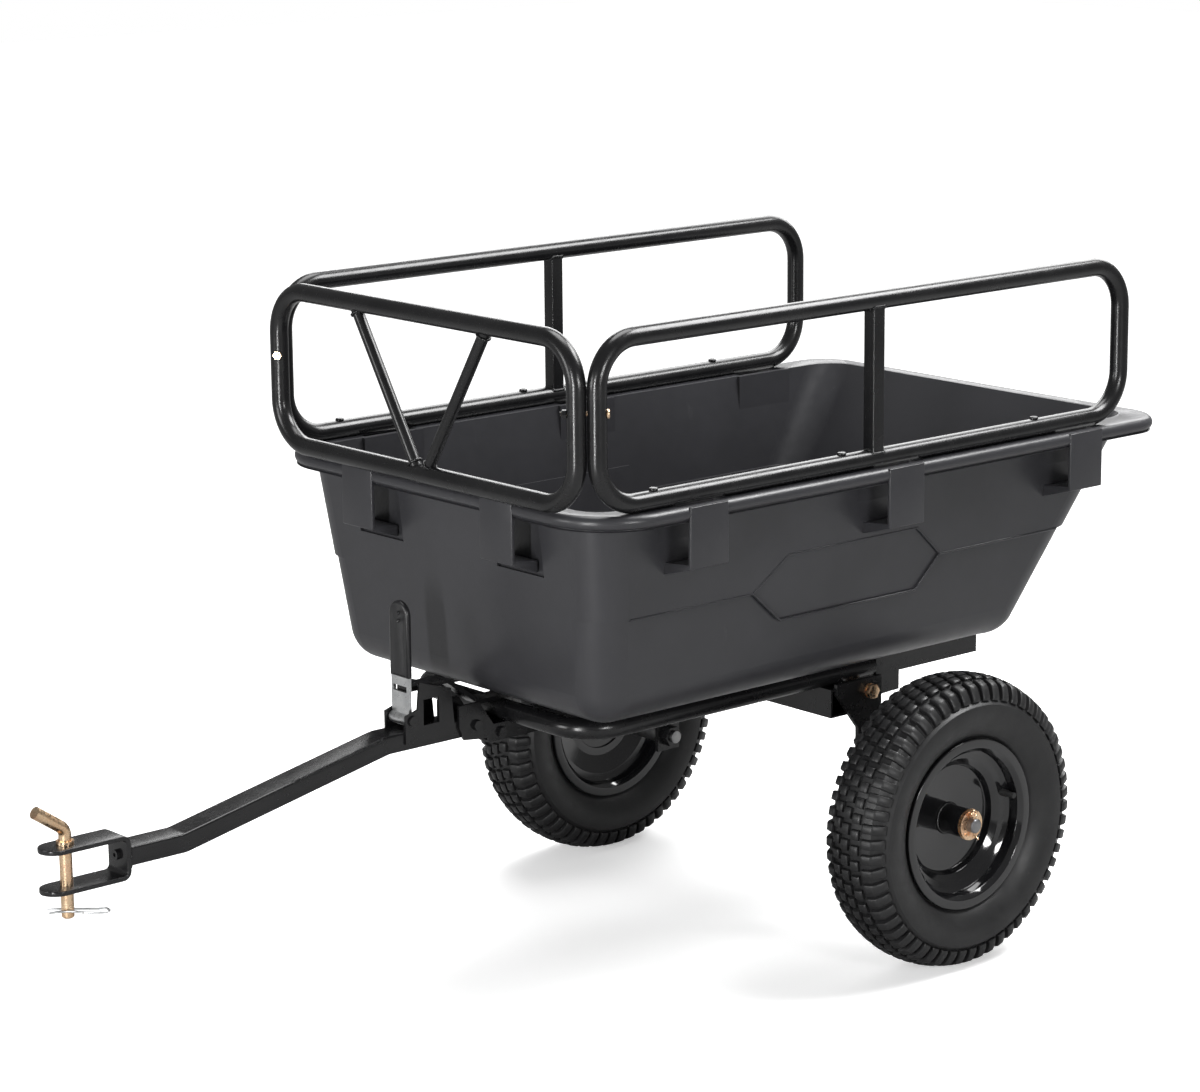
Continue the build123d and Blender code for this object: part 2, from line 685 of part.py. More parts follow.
def latch_bracket():
    """Two cheeks on the drawbar's sides that carry the lever's pin."""
    side = BAR_W / 2
    low = BAR_TOP_REAR - 16
    pin_x = LEVER_X + LEVER_T / 2
    outline = [(BAR_REAR + 52, low), (pin_x + 12, low), (pin_x + 12, LEVER_PIVOT_Z + 8),
               (pin_x - 8, LEVER_PIVOT_Z + 14), (pin_x - 12, STRIKER_Z + 12),
               (BAR_REAR + 58, STRIKER_Z - 4)]
    cheeks = []
    for low_y in (side, -side - CHEEK_T):
        cheek = side_plate(outline, low_y, low_y + CHEEK_T)
        cheek -= along_y(LEVER_PIN_D / 2, -30, 30, x=pin_x, z=LEVER_PIVOT_Z)
        cheek -= box((pin_x - 44, -30, BAR_TOP_REAR + 5), (pin_x - 18, 30, STRIKER_Z - 12))
        cheeks.append(cheek)
    return cheeks


def lever_pin():
    half = BAR_W / 2 + CHEEK_T
    x = LEVER_X + LEVER_T / 2
    pin = along_y(LEVER_PIN_D / 2, -half - 3, half, x=x, z=LEVER_PIVOT_Z)
    return pin + along_y(LEVER_PIN_D / 2 + 3, half, half + 3, x=x, z=LEVER_PIVOT_Z)


def return_spring():
    """The torsion spring's coil, beside the lever's knuckle, on the lever pin."""
    x = LEVER_X + LEVER_T / 2
    low = LEVER_W / 2 + 0.2
    high = BAR_W / 2 - 0.2
    return along_y(7.5, low, high, x=x, z=LEVER_PIVOT_Z) - along_y(5.0, low, high, x=x, z=LEVER_PIVOT_Z)


# ---- tub ----------------------------------------------------------------------------------
def tub_body(inset, low, top, step):
    """The tub's wall volume from z = low to z = top, inset from the outside by the wall."""
    front = TUB_FRONT - TUB_FRONT_LIP_W - inset
    lean = TUB_FRONT_DRAFT
    half = TUB_HALF - TUB_LIP_W - inset - step
    rear = TUB_REAR + TUB_REAR_LIP_W + inset
    drop = TUB_TOP_Z - low
    rise = TUB_TOP_Z - TUB_FLOOR_Z
    run = (TUB_FLOOR_REAR + inset - rear) / rise
    side = side_plate([(front - lean * drop, low), (front + lean * (top - TUB_TOP_Z), top),
                       (rear - run * (top - TUB_TOP_Z), top), (rear + run * drop, low)], -500, 500)
    ends = Polygon((half - TUB_DRAFT * drop, low), (half + TUB_DRAFT * (top - TUB_TOP_Z), top),
                   (-half - TUB_DRAFT * (top - TUB_TOP_Z), top), (-half + TUB_DRAFT * drop, low), align=None)
    plane = Plane(origin=(-700, 0, 0), x_dir=(0, 1, 0), z_dir=(1, 0, 0))
    return side & extrude(plane * ends, 1600, dir=(1, 0, 0))


def rounded_tub(inset, low, top, step, radius, bottom):
    body = tub_body(inset, low, top, step)
    corners = [e for e in body.edges() if abs(e.tangent_at(0.5).Z) > 0.5]
    body = fillet(corners, radius)
    if bottom:
        floor = body.edges().group_by(Axis.Z)[0]
        body = fillet(floor, bottom)
    return body


def lip_ring(inset, low, top):
    front = TUB_FRONT - inset
    rear = TUB_REAR + inset
    half = TUB_HALF - inset
    block = box((rear, -half, low), (front, half, top))
    edges = block.edges().filter_by(Axis.Z)
    front_edges = edges.sort_by(Axis.X)[-2:]
    block = fillet(front_edges, LIP_FRONT_R - inset)
    edges = block.edges().filter_by(Axis.Z).sort_by(Axis.X)[:2]
    return fillet(edges, LIP_REAR_R - inset)


def pocket_frames():
    """Each stake pocket's place: its local +Y points out of the wall at the lip's edge."""
    frames = []
    for x in SIDE_POCKET_X:
        frames.append(at(x, TUB_HALF, 0))
        frames.append(at(x, -TUB_HALF, 0) * Rot(0, 0, 180))
    for y in FRONT_POCKET_Y:
        frames.append(at(TUB_FRONT, y, 0) * Rot(0, 0, -90))
    return frames


def pocket_recess(grow):
    half = POCKET_W / 2 + grow
    return box((-half, -POCKET_DEPTH - grow, POCKET_BOTTOM_Z - grow), (half, -8, TUB_TOP_Z - TUB_WALL + grow))


def pocket_strap():
    """The strap that closes a pocket in front, with its sloped foot back to the wall."""
    half = POCKET_STRAP_W / 2
    t = POCKET_STRAP_T
    z = POCKET_STRAP_Z
    back = POCKET_DEPTH + 15
    high = TUB_TOP_Z - TUB_LIP_H
    outline = Polygon((0, high), (0, z), (-back, POCKET_BOTTOM_Z - 8),
                      (-back, POCKET_BOTTOM_Z), (-t, z + 6), (-t, high), align=None)
    plane = Plane(origin=(-half, 0, 0), x_dir=(0, 1, 0), z_dir=(1, 0, 0))
    return extrude(plane * outline, POCKET_STRAP_W, dir=(1, 0, 0))


def pocket_slot():
    """The slot in the lip that a stake drops through."""
    half = POCKET_W / 2 - 3
    low = TUB_TOP_Z - TUB_WALL - 1
    return box((-half, -POCKET_DEPTH + 4, low), (half, -POCKET_STRAP_T - 3, TUB_TOP_Z + 1))


def panel_shape():
    """The outline of the shallow panel on each side wall, as a prism across the tub."""
    z0 = TUB_STEP_Z - 45
    z1 = TUB_STEP_Z
    z2 = TUB_STEP_Z + 44
    outline = [(299, z1), (246, z0), (-8, z0), (-51, z1), (-2, z2), (239, z2)]
    return side_plate(outline, -TUB_HALF, TUB_HALF)


def upper_band():
    """The side walls' upper band, which stands out by the step; its lower edge jogs at the panel."""
    top = TUB_TOP_Z
    z0 = TUB_STEP_Z - 45
    z1 = TUB_STEP_Z
    outline = [(TUB_FRONT, top), (TUB_FRONT, z1), (299, z1), (246, z0), (-8, z0), (-51, z1),
               (TUB_REAR, z1), (TUB_REAR, top)]
    return side_plate(outline, -TUB_HALF, TUB_HALF)


def tub_nodes():
    """The tub's shell, its rim with the stake slots, and the straps in front of the stake pockets."""
    base = TUB_FLOOR_Z
    top = TUB_TOP_Z
    w = TUB_WALL
    step = TUB_STEP
    r = TUB_CORNER_R
    outside = rounded_tub(0, base, top, step, r, r - 2)
    wide = rounded_tub(0, base, top, 0, r, 0)
    outside += wide & upper_band()
    sunk = rounded_tub(PANEL_DEPTH, base, top, 0, r, 0)
    outside -= (wide - sunk) & panel_shape()
    room = rounded_tub(w, base + w, top + 1, step, r - w, r - w - 4)
    wide_room = rounded_tub(w, base + w, top + 1, 0, r - w, 0)
    room += wide_room & (at(0, 0, w) * upper_band())
    sunk_room = rounded_tub(w + PANEL_DEPTH, base + w, top + 1, 0, r - w, 0)
    room -= (wide_room - sunk_room) & panel_shape()
    lip = lip_ring(0, top - TUB_LIP_H, top)
    lip = fillet(lip.edges().group_by(Axis.Z)[-1], 5)
    under = lip_ring(POCKET_STRAP_T, top - TUB_LIP_H - 1, top - w)
    rim = (lip - under) - outside
    straps = []
    for frame in pocket_frames():
        outside -= frame * pocket_recess(0)
        outside -= frame * pocket_slot()
        room -= frame * pocket_recess(w)
        rim -= frame * pocket_slot()
    for frame in pocket_frames():
        straps.append((frame * pocket_strap() & lip_ring(0, 300, top)) - outside)
    shell = outside - room
    for x, y in strap_bolt_places():
        shell -= along_z(4.2, base - 1, base + w + 1, x=x, y=y)
    for x, y in rim_bolt_places():
        rim -= along_z(RAIL_BOLT_D / 2 + 0.2, top - w - 1, top + 1, x=x, y=y)
    write("tub", largest(shell))
    write("tub_rim", largest(rim))
    write("stake_straps", *[largest(strap) for strap in straps])


def largest(part):
    return max(part.solids(), key=lambda solid: solid.volume)


# ---- rails --------------------------------------------------------------------------------
def rim_bolt_places():
    return [(x, side * RAIL_Y) for x in RAIL_BOLT_X for side in (-1, 1)]


def loop_tube(u0, u1, place):
    """A closed rounded loop of tube in the local XZ plane, between u0 and u1."""
    low = RAIL_LOW_Z
    high = RAIL_TOP_Z
    plane = Plane(origin=((u0 + u1) / 2, 0, (low + high) / 2), x_dir=(1, 0, 0), z_dir=(0, -1, 0))
    path = (plane * RectangleRounded(u1 - u0, high - low, RAIL_CORNER_R)).wire()
    return place * tube_along(path, RAIL_D, RAIL_WALL, path @ 0, path % 0)


def side_loop():
    loop = loop_tube(RAIL_REAR, RAIL_FRONT, at(0, RAIL_Y, 0))
    for x in RAIL_BOLT_X:
        loop -= along_z(RAIL_BOLT_D / 2 + 0.2, RAIL_LOW_Z - 20, RAIL_LOW_Z + 20, x=x, y=RAIL_Y)
    return bends_and_runs(loop - corner_bolt_hole())


def bends_and_runs(loop):
    """The side rail cut where its bends start, so that no collision piece rounds off a bend."""
    xs = (RAIL_REAR - RAIL_D, RAIL_REAR + RAIL_CORNER_R, RAIL_FRONT - RAIL_CORNER_R, RAIL_FRONT + RAIL_D)
    zs = (RAIL_LOW_Z - RAIL_D, RAIL_LOW_Z + RAIL_CORNER_R, RAIL_TOP_Z - RAIL_CORNER_R, RAIL_TOP_Z + RAIL_D)
    cells = [(i, k) for i in range(3) for k in range(3) if (i, k) != (1, 1)]
    pieces = []
    for i, k in cells:
        cell = box((xs[i], RAIL_Y - RAIL_D, zs[k]), (xs[i + 1], RAIL_Y + RAIL_D, zs[k + 1]))
        pieces += (loop & cell).solids()
    return pieces


def side_post():
    half = POST_SIZE / 2
    low = RAIL_LOW_Z
    high = RAIL_TOP_Z
    post = box((POST_X - half, RAIL_Y - half, low), (POST_X + half, RAIL_Y + half, high))
    hollow = half - 1.5
    post -= box((POST_X - hollow, RAIL_Y - hollow, low), (POST_X + hollow, RAIL_Y + hollow, high))
    for z in (low, high):
        post -= Location((POST_X, RAIL_Y, z)) * (Rot(0, 90, 0) * Cylinder(RAIL_D / 2, 60))
    return post


def front_loop():
    loop = loop_tube(-FRONT_RAIL_HALF, FRONT_RAIL_HALF, at(FRONT_RAIL_X, 0, 0) * Rot(0, 0, 90))
    hole = corner_bolt_hole()
    return loop - hole - mirrored(hole)


def brace(side):
    low = RAIL_LOW_Z
    high = RAIL_TOP_Z
    rise = high - low
    run = BRACE_TOP_Y - BRACE_FOOT_Y
    length = hypot(rise, run)
    lean = degrees(atan2(run, rise))
    mid = at(FRONT_RAIL_X, side * (BRACE_TOP_Y + BRACE_FOOT_Y) / 2, (low + high) / 2)
    pipe = Cylinder(BRACE_D / 2, length) - Cylinder(BRACE_D / 2 - 1.5, length)
    bar = mid * (Rot(-side * lean, 0, 0) * pipe)
    for z in (low, high):
        bar -= Location((FRONT_RAIL_X, 0, z)) * (Rot(90, 0, 0) * Cylinder(RAIL_D / 2, 600))
    if side < 0:
        bar -= box((FRONT_RAIL_X - 20, -0.001, low), (FRONT_RAIL_X + 20, 40, high))
    else:
        bar -= box((FRONT_RAIL_X - 20, -40, low), (FRONT_RAIL_X + 20, 0.001, high))
    return largest(bar)


def corner_line():
    """The corner bolt's middle and direction, from the side rail's upright to the front rail's."""
    a = Vector(RAIL_FRONT, RAIL_Y, CORNER_BOLT_Z)
    b = Vector(FRONT_RAIL_X, FRONT_RAIL_HALF, CORNER_BOLT_Z)
    return (a + b) * 0.5, (a - b).normalized(), (a - b).length


def corner_bolt_hole():
    mid, way, gap = corner_line()
    plane = Plane(origin=mid, z_dir=way)
    return extrude(plane * Circle(RAIL_BOLT_D / 2 + 0.2), 40, both=True)


def corner_bolt():
    mid, way, gap = corner_line()
    reach = gap / 2 + RAIL_D / 2
    bolt, nut = round_bolt(RAIL_BOLT_D, 2 * reach, 3.5, 5)
    plane = Plane(origin=mid + way * reach, z_dir=way)
    return plane.location * bolt, plane.location * nut


def rim_bolts():
    solids = []
    for x, y in rim_bolt_places():
        bolt, nut = round_bolt(RAIL_BOLT_D, RAIL_D + TUB_WALL, 3, 5)
        place = at(x, y, RAIL_LOW_Z + RAIL_D / 2)
        solids += [place * bolt, place * nut]
    return solids


def same(part):
    return part


def main():
    os.makedirs("parts", exist_ok=True)
    for side, place in (("left", same), ("right", mirrored)):
        wheel_nodes(side, place)
        write(f"{side}_axle_bracket", place(axle_bracket()))
        write(f"{side}_stub_axle", place(stub_axle()))
        write(f"{side}_hinge_ear", place(hinge_ear()))
        write(f"{side}_rail_loop", *[place(piece) for piece in side_loop()])
        write(f"{side}_rail_post", place(side_post()))
    both = (same, mirrored)
    write("axle_washers", *[p(axle_washer()) for p in both])
    write("axle_nuts", *[p(axle_nut()) for p in both])
    write("cotter_pins", *[p(cotter_pin()) for p in both])
    write("cross_beam", cross_beam())
    write("pivot_bolts", *[p(part) for p in both for part in pivot_bolt()])
    write("pivot_washers", *[p(part) for p in both for part in pivot_washers()])
    write("drawbar", drawbar())
    write("chassis_beam", chassis_beam())
    write("drawbar_joint_plates", *joint_plates())
    write("drawbar_joint_bolts", *joint_bolts())
    write("hitch_clevis", clevis())
    write("clevis_screw", clevis_screw())
    write("hitch_pin", hitch_pin())
    write("hairpin_clip", clip_place(hairpin_clip()))
    write("bed_tube", bed_tube())
    write("bed_rear_bars", *rear_bars())
    write("bed_cross_straps", *[strap_with_holes(x) for x in STRAP_X])
    write("tub_bolts", *tub_bolts())
    write("latch_striker", striker())
    write("latch_lever", latch_lever())
    write("lever_grip", lever_grip())
    write("latch_bracket", *latch_bracket())
    write("lever_pin", lever_pin())
    write("return_spring", return_spring())
    tub_nodes()
    write("front_rail_loop", front_loop())
    write("front_rail_braces", brace(-1), brace(1))
    write("rail_corner_bolts", *[p(part) for p in both for part in corner_bolt()])
    write("rail_rim_bolts", *rim_bolts())


main()
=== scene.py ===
import json
from math import atan2, cos, pi, radians, sin

import bmesh
import bpy
from mathutils import Matrix, Vector


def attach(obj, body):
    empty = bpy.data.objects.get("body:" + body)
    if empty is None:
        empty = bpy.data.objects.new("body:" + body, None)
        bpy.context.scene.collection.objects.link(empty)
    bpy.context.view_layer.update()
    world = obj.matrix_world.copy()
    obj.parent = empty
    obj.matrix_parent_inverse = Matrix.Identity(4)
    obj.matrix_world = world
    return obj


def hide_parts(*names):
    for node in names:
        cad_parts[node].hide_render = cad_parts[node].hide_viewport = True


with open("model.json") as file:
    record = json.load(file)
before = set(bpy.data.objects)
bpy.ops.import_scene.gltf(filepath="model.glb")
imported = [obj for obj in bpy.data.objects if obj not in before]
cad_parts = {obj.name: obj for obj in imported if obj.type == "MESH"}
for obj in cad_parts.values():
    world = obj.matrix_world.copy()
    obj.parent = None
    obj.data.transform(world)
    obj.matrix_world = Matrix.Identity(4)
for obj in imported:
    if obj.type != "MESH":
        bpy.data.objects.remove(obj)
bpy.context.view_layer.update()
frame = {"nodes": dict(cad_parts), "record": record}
NODES = frame["nodes"]

# Sizes are millimetres: x from the wheels' axis and z from the ground. mm() moves them to the frame.
AXLE_SHIFT = -380.5
HUB_Z = 203.0
WHEEL_Y = 366.0


def mm(x, y, z):
    return Vector(((x + AXLE_SHIFT) / 1000, y / 1000, z / 1000))


# ---- finishes -----------------------------------------------------------------------------
class Finish:
    """One finish: a Principled shader on Object coordinates, with a few helpers for its nodes."""

    def __init__(self, name):
        self.mat = bpy.data.materials.new(name)
        self.mat.use_nodes = True
        self.tree = self.mat.node_tree
        self.tree.nodes.clear()
        out = self.tree.nodes.new("ShaderNodeOutputMaterial")
        self.shader = self.tree.nodes.new("ShaderNodeBsdfPrincipled")
        self.tree.links.new(self.shader.outputs[0], out.inputs[0])
        self.coords = self.tree.nodes.new("ShaderNodeTexCoord")
        self.bump = None

    def noise(self, scale, detail=4.0, rough=0.55, stretch=None):
        node = self.tree.nodes.new("ShaderNodeTexNoise")
        node.inputs["Scale"].default_value = scale
        node.inputs["Detail"].default_value = detail
        node.inputs["Roughness"].default_value = rough
        source = self.coords.outputs["Object"]
        if stretch:
            mapping = self.tree.nodes.new("ShaderNodeMapping")
            mapping.inputs["Scale"].default_value = stretch
            self.tree.links.new(source, mapping.inputs["Vector"])
            source = mapping.outputs[0]
        self.tree.links.new(source, node.inputs["Vector"])
        return node.outputs["Fac"]

    def cells(self, scale):
        node = self.tree.nodes.new("ShaderNodeTexVoronoi")
        node.inputs["Scale"].default_value = scale
        self.tree.links.new(self.coords.outputs["Object"], node.inputs["Vector"])
        return node.outputs["Distance"]

    def span(self, value, low, high, to_low, to_high):
        node = self.tree.nodes.new("ShaderNodeMapRange")
        self.tree.links.new(value, node.inputs["Value"])
        node.inputs["From Min"].default_value = low
        node.inputs["From Max"].default_value = high
        node.inputs["To Min"].default_value = to_low
        node.inputs["To Max"].default_value = to_high
        return node.outputs["Result"]

    def blend(self, factor, first, second):
        node = self.tree.nodes.new("ShaderNodeMix")
        node.data_type = "RGBA"
        self.tree.links.new(factor, node.inputs["Factor"])
        for socket, value in ((node.inputs[6], first), (node.inputs[7], second)):
            if isinstance(value, tuple):
                socket.default_value = (*value, 1.0)
            else:
                self.tree.links.new(value, socket)
        return node.outputs[2]

    def colour(self, value):
        self.tree.links.new(value, self.shader.inputs["Base Color"])

    def roughness(self, value):
        self.tree.links.new(value, self.shader.inputs["Roughness"])

    def grain(self, height, strength, distance):
        node = self.tree.nodes.new("ShaderNodeBump")
        node.inputs["Strength"].default_value = strength
        node.inputs["Distance"].default_value = distance
        self.tree.links.new(height, node.inputs["Height"])
        if self.bump:
            self.tree.links.new(self.bump, node.inputs["Normal"])
        self.bump = node.outputs[0]
        self.tree.links.new(self.bump, self.shader.inputs["Normal"])

    def set(self, **values):
        for name, value in values.items():
            self.shader.inputs[name.replace("_", " ")].default_value = value


def moulded_poly():
    f = Finish("moulded_poly")
    cloud = f.noise(3.5, 5, 0.6)
    base = f.blend(f.span(cloud, 0.35, 0.65, 0, 1), (0.029, 0.029, 0.032), (0.036, 0.036, 0.040))
    scuff = f.noise(38, 7, 0.7, (1, 1, 0.25))
    f.colour(f.blend(f.span(scuff, 0.66, 0.80, 0, 0.5), base, (0.07, 0.07, 0.074)))
    f.roughness(f.span(f.noise(60, 5), 0.3, 0.7, 0.29, 0.38))
    f.grain(f.noise(900, 3, 0.6), 0.16, 0.0004)
    f.grain(f.noise(14, 2), 0.10, 0.002)
    f.set(Specular_IOR_Level=0.5)
    return f.mat


def powder_coat():
    f = Finish("powder_coat")
    cloud = f.noise(9, 5)
    base = f.blend(f.span(cloud, 0.35, 0.65, 0, 1), (0.005, 0.005, 0.0055), (0.009, 0.009, 0.0095))
    rub = f.noise(120, 8, 0.75)
    f.colour(f.blend(f.span(rub, 0.72, 0.80, 0, 0.35), base, (0.10, 0.10, 0.10)))
    f.roughness(f.span(f.noise(45, 4), 0.3, 0.7, 0.20, 0.30))
    f.grain(f.noise(520, 2, 0.5), 0.12, 0.0004)
    f.set(Specular_IOR_Level=0.5)
    return f.mat


def gloss_black():
    f = Finish("gloss_black")
    cloud = f.noise(11, 4)
    f.colour(f.blend(f.span(cloud, 0.35, 0.65, 0, 1), (0.004, 0.004, 0.0045), (0.008, 0.008, 0.009)))
    f.roughness(f.span(f.noise(70, 6), 0.35, 0.75, 0.07, 0.16))
    f.grain(f.noise(160, 2, 0.4), 0.05, 0.0006)
    f.set(Coat_Weight=0.6, Coat_Roughness=0.05)
    return f.mat


def tread_rubber():
    f = Finish("tread_rubber")
    cloud = f.noise(16, 6, 0.65)
    base = f.blend(f.span(cloud, 0.3, 0.7, 0, 1), (0.010, 0.010, 0.0105), (0.018, 0.018, 0.0185))
    dust = f.noise(85, 8, 0.7)
    f.colour(f.blend(f.span(dust, 0.62, 0.80, 0, 0.45), base, (0.05, 0.05, 0.049)))
    f.roughness(f.span(f.noise(50, 5), 0.3, 0.7, 0.36, 0.50))
    f.grain(f.noise(420, 6, 0.7), 0.30, 0.0006)
    f.grain(f.cells(260), 0.10, 0.0003)
    f.set(Specular_IOR_Level=0.45)
    return f.mat


def soft_rubber():
    f = Finish("soft_rubber")
    cloud = f.noise(40, 4)
    f.colour(f.blend(f.span(cloud, 0.3, 0.7, 0, 1), (0.012, 0.012, 0.012), (0.022, 0.022, 0.022)))
    f.roughness(f.span(f.noise(90, 4), 0.3, 0.7, 0.50, 0.65))
    f.grain(f.noise(700, 3), 0.15, 0.0003)
    return f.mat


def dipped_vinyl():
    f = Finish("dipped_vinyl")
    cloud = f.noise(28, 3)
    f.colour(f.blend(f.span(cloud, 0.3, 0.7, 0, 1), (0.005, 0.005, 0.006), (0.010, 0.010, 0.011)))
    f.roughness(f.span(f.noise(60, 3), 0.3, 0.7, 0.30, 0.42))
    f.grain(f.noise(60, 2), 0.15, 0.0015)
    f.set(Coat_Weight=0.25, Coat_Roughness=0.25)
    return f.mat


def yellow_zinc():
    f = Finish("yellow_zinc")
    tint = f.span(f.noise(75, 3, 0.5), 0.35, 0.65, 0, 1)
    warm = f.blend(tint, (0.80, 0.54, 0.33), (0.88, 0.66, 0.44))
    rose = f.span(f.noise(30, 2), 0.50, 0.68, 0, 0.55)
    f.colour(f.blend(rose, warm, (0.74, 0.38, 0.24)))
    f.roughness(f.span(f.noise(220, 5), 0.3, 0.7, 0.20, 0.36))
    f.grain(f.noise(600, 3), 0.10, 0.0003)
    f.set(Metallic=1.0)
    return f.mat


def clear_zinc():
    f = Finish("clear_zinc")
    tint = f.span(f.noise(60, 4), 0.35, 0.65, 0, 1)
    f.colour(f.blend(tint, (0.60, 0.61, 0.62), (0.74, 0.75, 0.75)))
    f.roughness(f.span(f.noise(180, 6), 0.3, 0.7, 0.24, 0.40))
    f.grain(f.noise(160, 5, 0.6, (1, 1, 14)), 0.12, 0.0003)
    f.set(Metallic=1.0)
    return f.mat


def bare_steel():
    f = Finish("bare_steel")
    tint = f.span(f.noise(50, 4), 0.35, 0.65, 0, 1)
    f.colour(f.blend(tint, (0.20, 0.20, 0.21), (0.34, 0.34, 0.34)))
    f.roughness(f.span(f.noise(160, 5), 0.3, 0.7, 0.28, 0.46))
    f.grain(f.noise(420, 4), 0.15, 0.0003)
    f.set(Metallic=1.0)
    return f.mat


def studio_floor():
    """Near white to look at, but it throws less light back up than it shows."""
    f = Finish("studio_floor")
    seen = f.tree.nodes.new("ShaderNodeLightPath").outputs["Is Camera Ray"]
    f.colour(f.blend(seen, (0.30, 0.30, 0.30), (0.95, 0.95, 0.95)))
    f.tree.links.new(f.span(seen, 0, 1, 0, 0.42), f.shader.inputs["Emission Strength"])
    f.set(Roughness=0.9, Emission_Color=(1.0, 1.0, 1.0, 1.0))
    return f.mat


FINISHES = {
    "black_poly": moulded_poly(),
    "black_steel": powder_coat(),
    "gloss_rim": gloss_black(),
    "tyre": tread_rubber(),
    "rubber": soft_rubber(),
    "grip_vinyl": dipped_vinyl(),
    "yellow_zinc": yellow_zinc(),
    "clear_zinc": clear_zinc(),
    "raw_steel": bare_steel(),
}


def finish_nodes():
    """Give every node of the frame the finish of its own material slot."""
    for part in frame["record"]["subparts"]:
        mesh = NODES[part["node"]].data
        mesh.materials.clear()
        mesh.materials.append(FINISHES[part["material_slot"]])


finish_nodes()


# ---- how pieces are made ------------------------------------------------------------------
def place_piece(mesh, name, body, slot, *nodes):
    """Finish a mesh as one piece: its object, finish, body and the nodes that it stands for."""
    mesh.materials.clear()
    mesh.materials.append(FINISHES[slot])
    obj = bpy.data.objects.new(name, mesh)
    bpy.context.scene.collection.objects.link(obj)
    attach(obj, body)
    if nodes:
        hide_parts(*nodes)
    return obj


def evaluated(obj):
    """The mesh of an object with its modifiers applied; the object goes."""
    graph = bpy.context.evaluated_depsgraph_get()
    mesh = bpy.data.meshes.new_from_object(obj.evaluated_get(graph), depsgraph=graph)
    bpy.data.objects.remove(obj)
    return mesh


def loose(mesh):
    obj = bpy.data.objects.new("work", mesh)
    bpy.context.scene.collection.objects.link(obj)
    return obj


def shade(mesh, angle=35):
    """Smooth shading, with edges sharper than the angle left crisp."""
    mesh.polygons.foreach_set("use_smooth", [True] * len(mesh.polygons))
    work = bmesh.new()
    work.from_mesh(mesh)
    for edge in work.edges:
        if len(edge.link_faces) == 2:
            edge.smooth = edge.calc_face_angle(0) < radians(angle)
    work.to_mesh(mesh)
    work.free()
    return mesh


def outward(mesh):
    work = bmesh.new()
    work.from_mesh(mesh)
    bmesh.ops.remove_doubles(work, verts=work.verts, dist=1e-6)
    bmesh.ops.recalc_face_normals(work, faces=work.faces)
    work.to_mesh(mesh)
    work.free()
    return mesh


def joined(*meshes):
    """Several meshes as one."""
    work = bmesh.new()
    for mesh in meshes:
        work.from_mesh(mesh)
    result = bpy.data.meshes.new("joined")
    work.to_mesh(result)
    work.free()
    return result


def moved(mesh, matrix):
    copy = mesh.copy()
    copy.transform(matrix)
    if matrix.determinant() < 0:
        copy.flip_normals()
    return copy


RIGHT_SIDE = Matrix.Scale(-1, 4, (0, 1, 0))


def arc3(a, m, b, steps):
    """Points along the circle through three points of a section, both ends included."""
    ax, ay = a
    bx, by = b
    mx, my = m
    d = 2 * (ax * (my - by) + mx * (by - ay) + bx * (ay - my))
    aa, mm2, bb = ax * ax + ay * ay, mx * mx + my * my, bx * bx + by * by
    cx = (aa * (my - by) + mm2 * (by - ay) + bb * (ay - my)) / d
    cy = (aa * (bx - mx) + mm2 * (ax - bx) + bb * (mx - ax)) / d
    r = ((ax - cx) ** 2 + (ay - cy) ** 2) ** 0.5
    start = atan2(ay - cy, ax - cx)
    middle = (atan2(my - cy, mx - cx) - start) % (2 * pi)
    sweep = (atan2(by - cy, bx - cx) - start) % (2 * pi)
    if middle > sweep:
        sweep -= 2 * pi
    return [(cx + r * cos(start + sweep * i / steps), cy + r * sin(start + sweep * i / steps))
            for i in range(steps + 1)]


def softened(points, radius, steps=4, closed=True):
    """A polygon's points with each corner turned into a small arc."""
    out = []
    count = len(points)
    for i, point in enumerate(points):
        p = Vector(point)
        if not closed and i in (0, count - 1):
            out.append(p)
            continue
        to_last = Vector(points[i - 1]) - p
        to_next = Vector(points[(i + 1) % count]) - p
        turn = to_last.angle(to_next)
        if turn > pi - 0.02:
            out.append(p)
            continue
        reach = radius * abs(cos(turn / 2) / sin(turn / 2))
        reach = min(reach, to_last.length * 0.45, to_next.length * 0.45)
        a = p + to_last.normalized() * reach
        b = p + to_next.normalized() * reach
        for k in range(steps + 1):
            t = k / steps
            out.append(a * (1 - t) ** 2 + p * 2 * t * (1 - t) + b * t ** 2)
    return out


def turned(profile, place, segments=128):
    """A closed outline of (radius, y) in mm turned about the Y axis through place."""
    verts = []
    count = len(profile)
    for s in range(segments):
        c, n = cos(2 * pi * s / segments), sin(2 * pi * s / segments)
        verts += [place + Vector((r * c, y, r * n)) / 1000 for r, y in profile]
    faces = []
    for s in range(segments):
        a, b = s * count, (s + 1) % segments * count
        faces += [(a + i, a + (i + 1) % count, b + (i + 1) % count, b + i) for i in range(count)]
    mesh = bpy.data.meshes.new("turned")
    mesh.from_pydata(verts, [], faces)
    return outward(mesh)


def swept(name, sections, closed=False):
    """Rings of points joined one to the next, with flat ends unless the run is closed."""
    count = len(sections[0])
    verts = [v for ring in sections for v in ring]
    rings = len(sections)
    faces = []
    for s in range(rings if closed else rings - 1):
        a, b = s * count, (s + 1) % rings * count
        faces += [(a + i, a + (i + 1) % count, b + (i + 1) % count, b + i) for i in range(count)]
    if not closed:
        faces += [tuple(range(count)), tuple(range((rings - 1) * count, rings * count))]
    mesh = bpy.data.meshes.new(name)
    mesh.from_pydata(verts, [], faces)
    return outward(mesh)


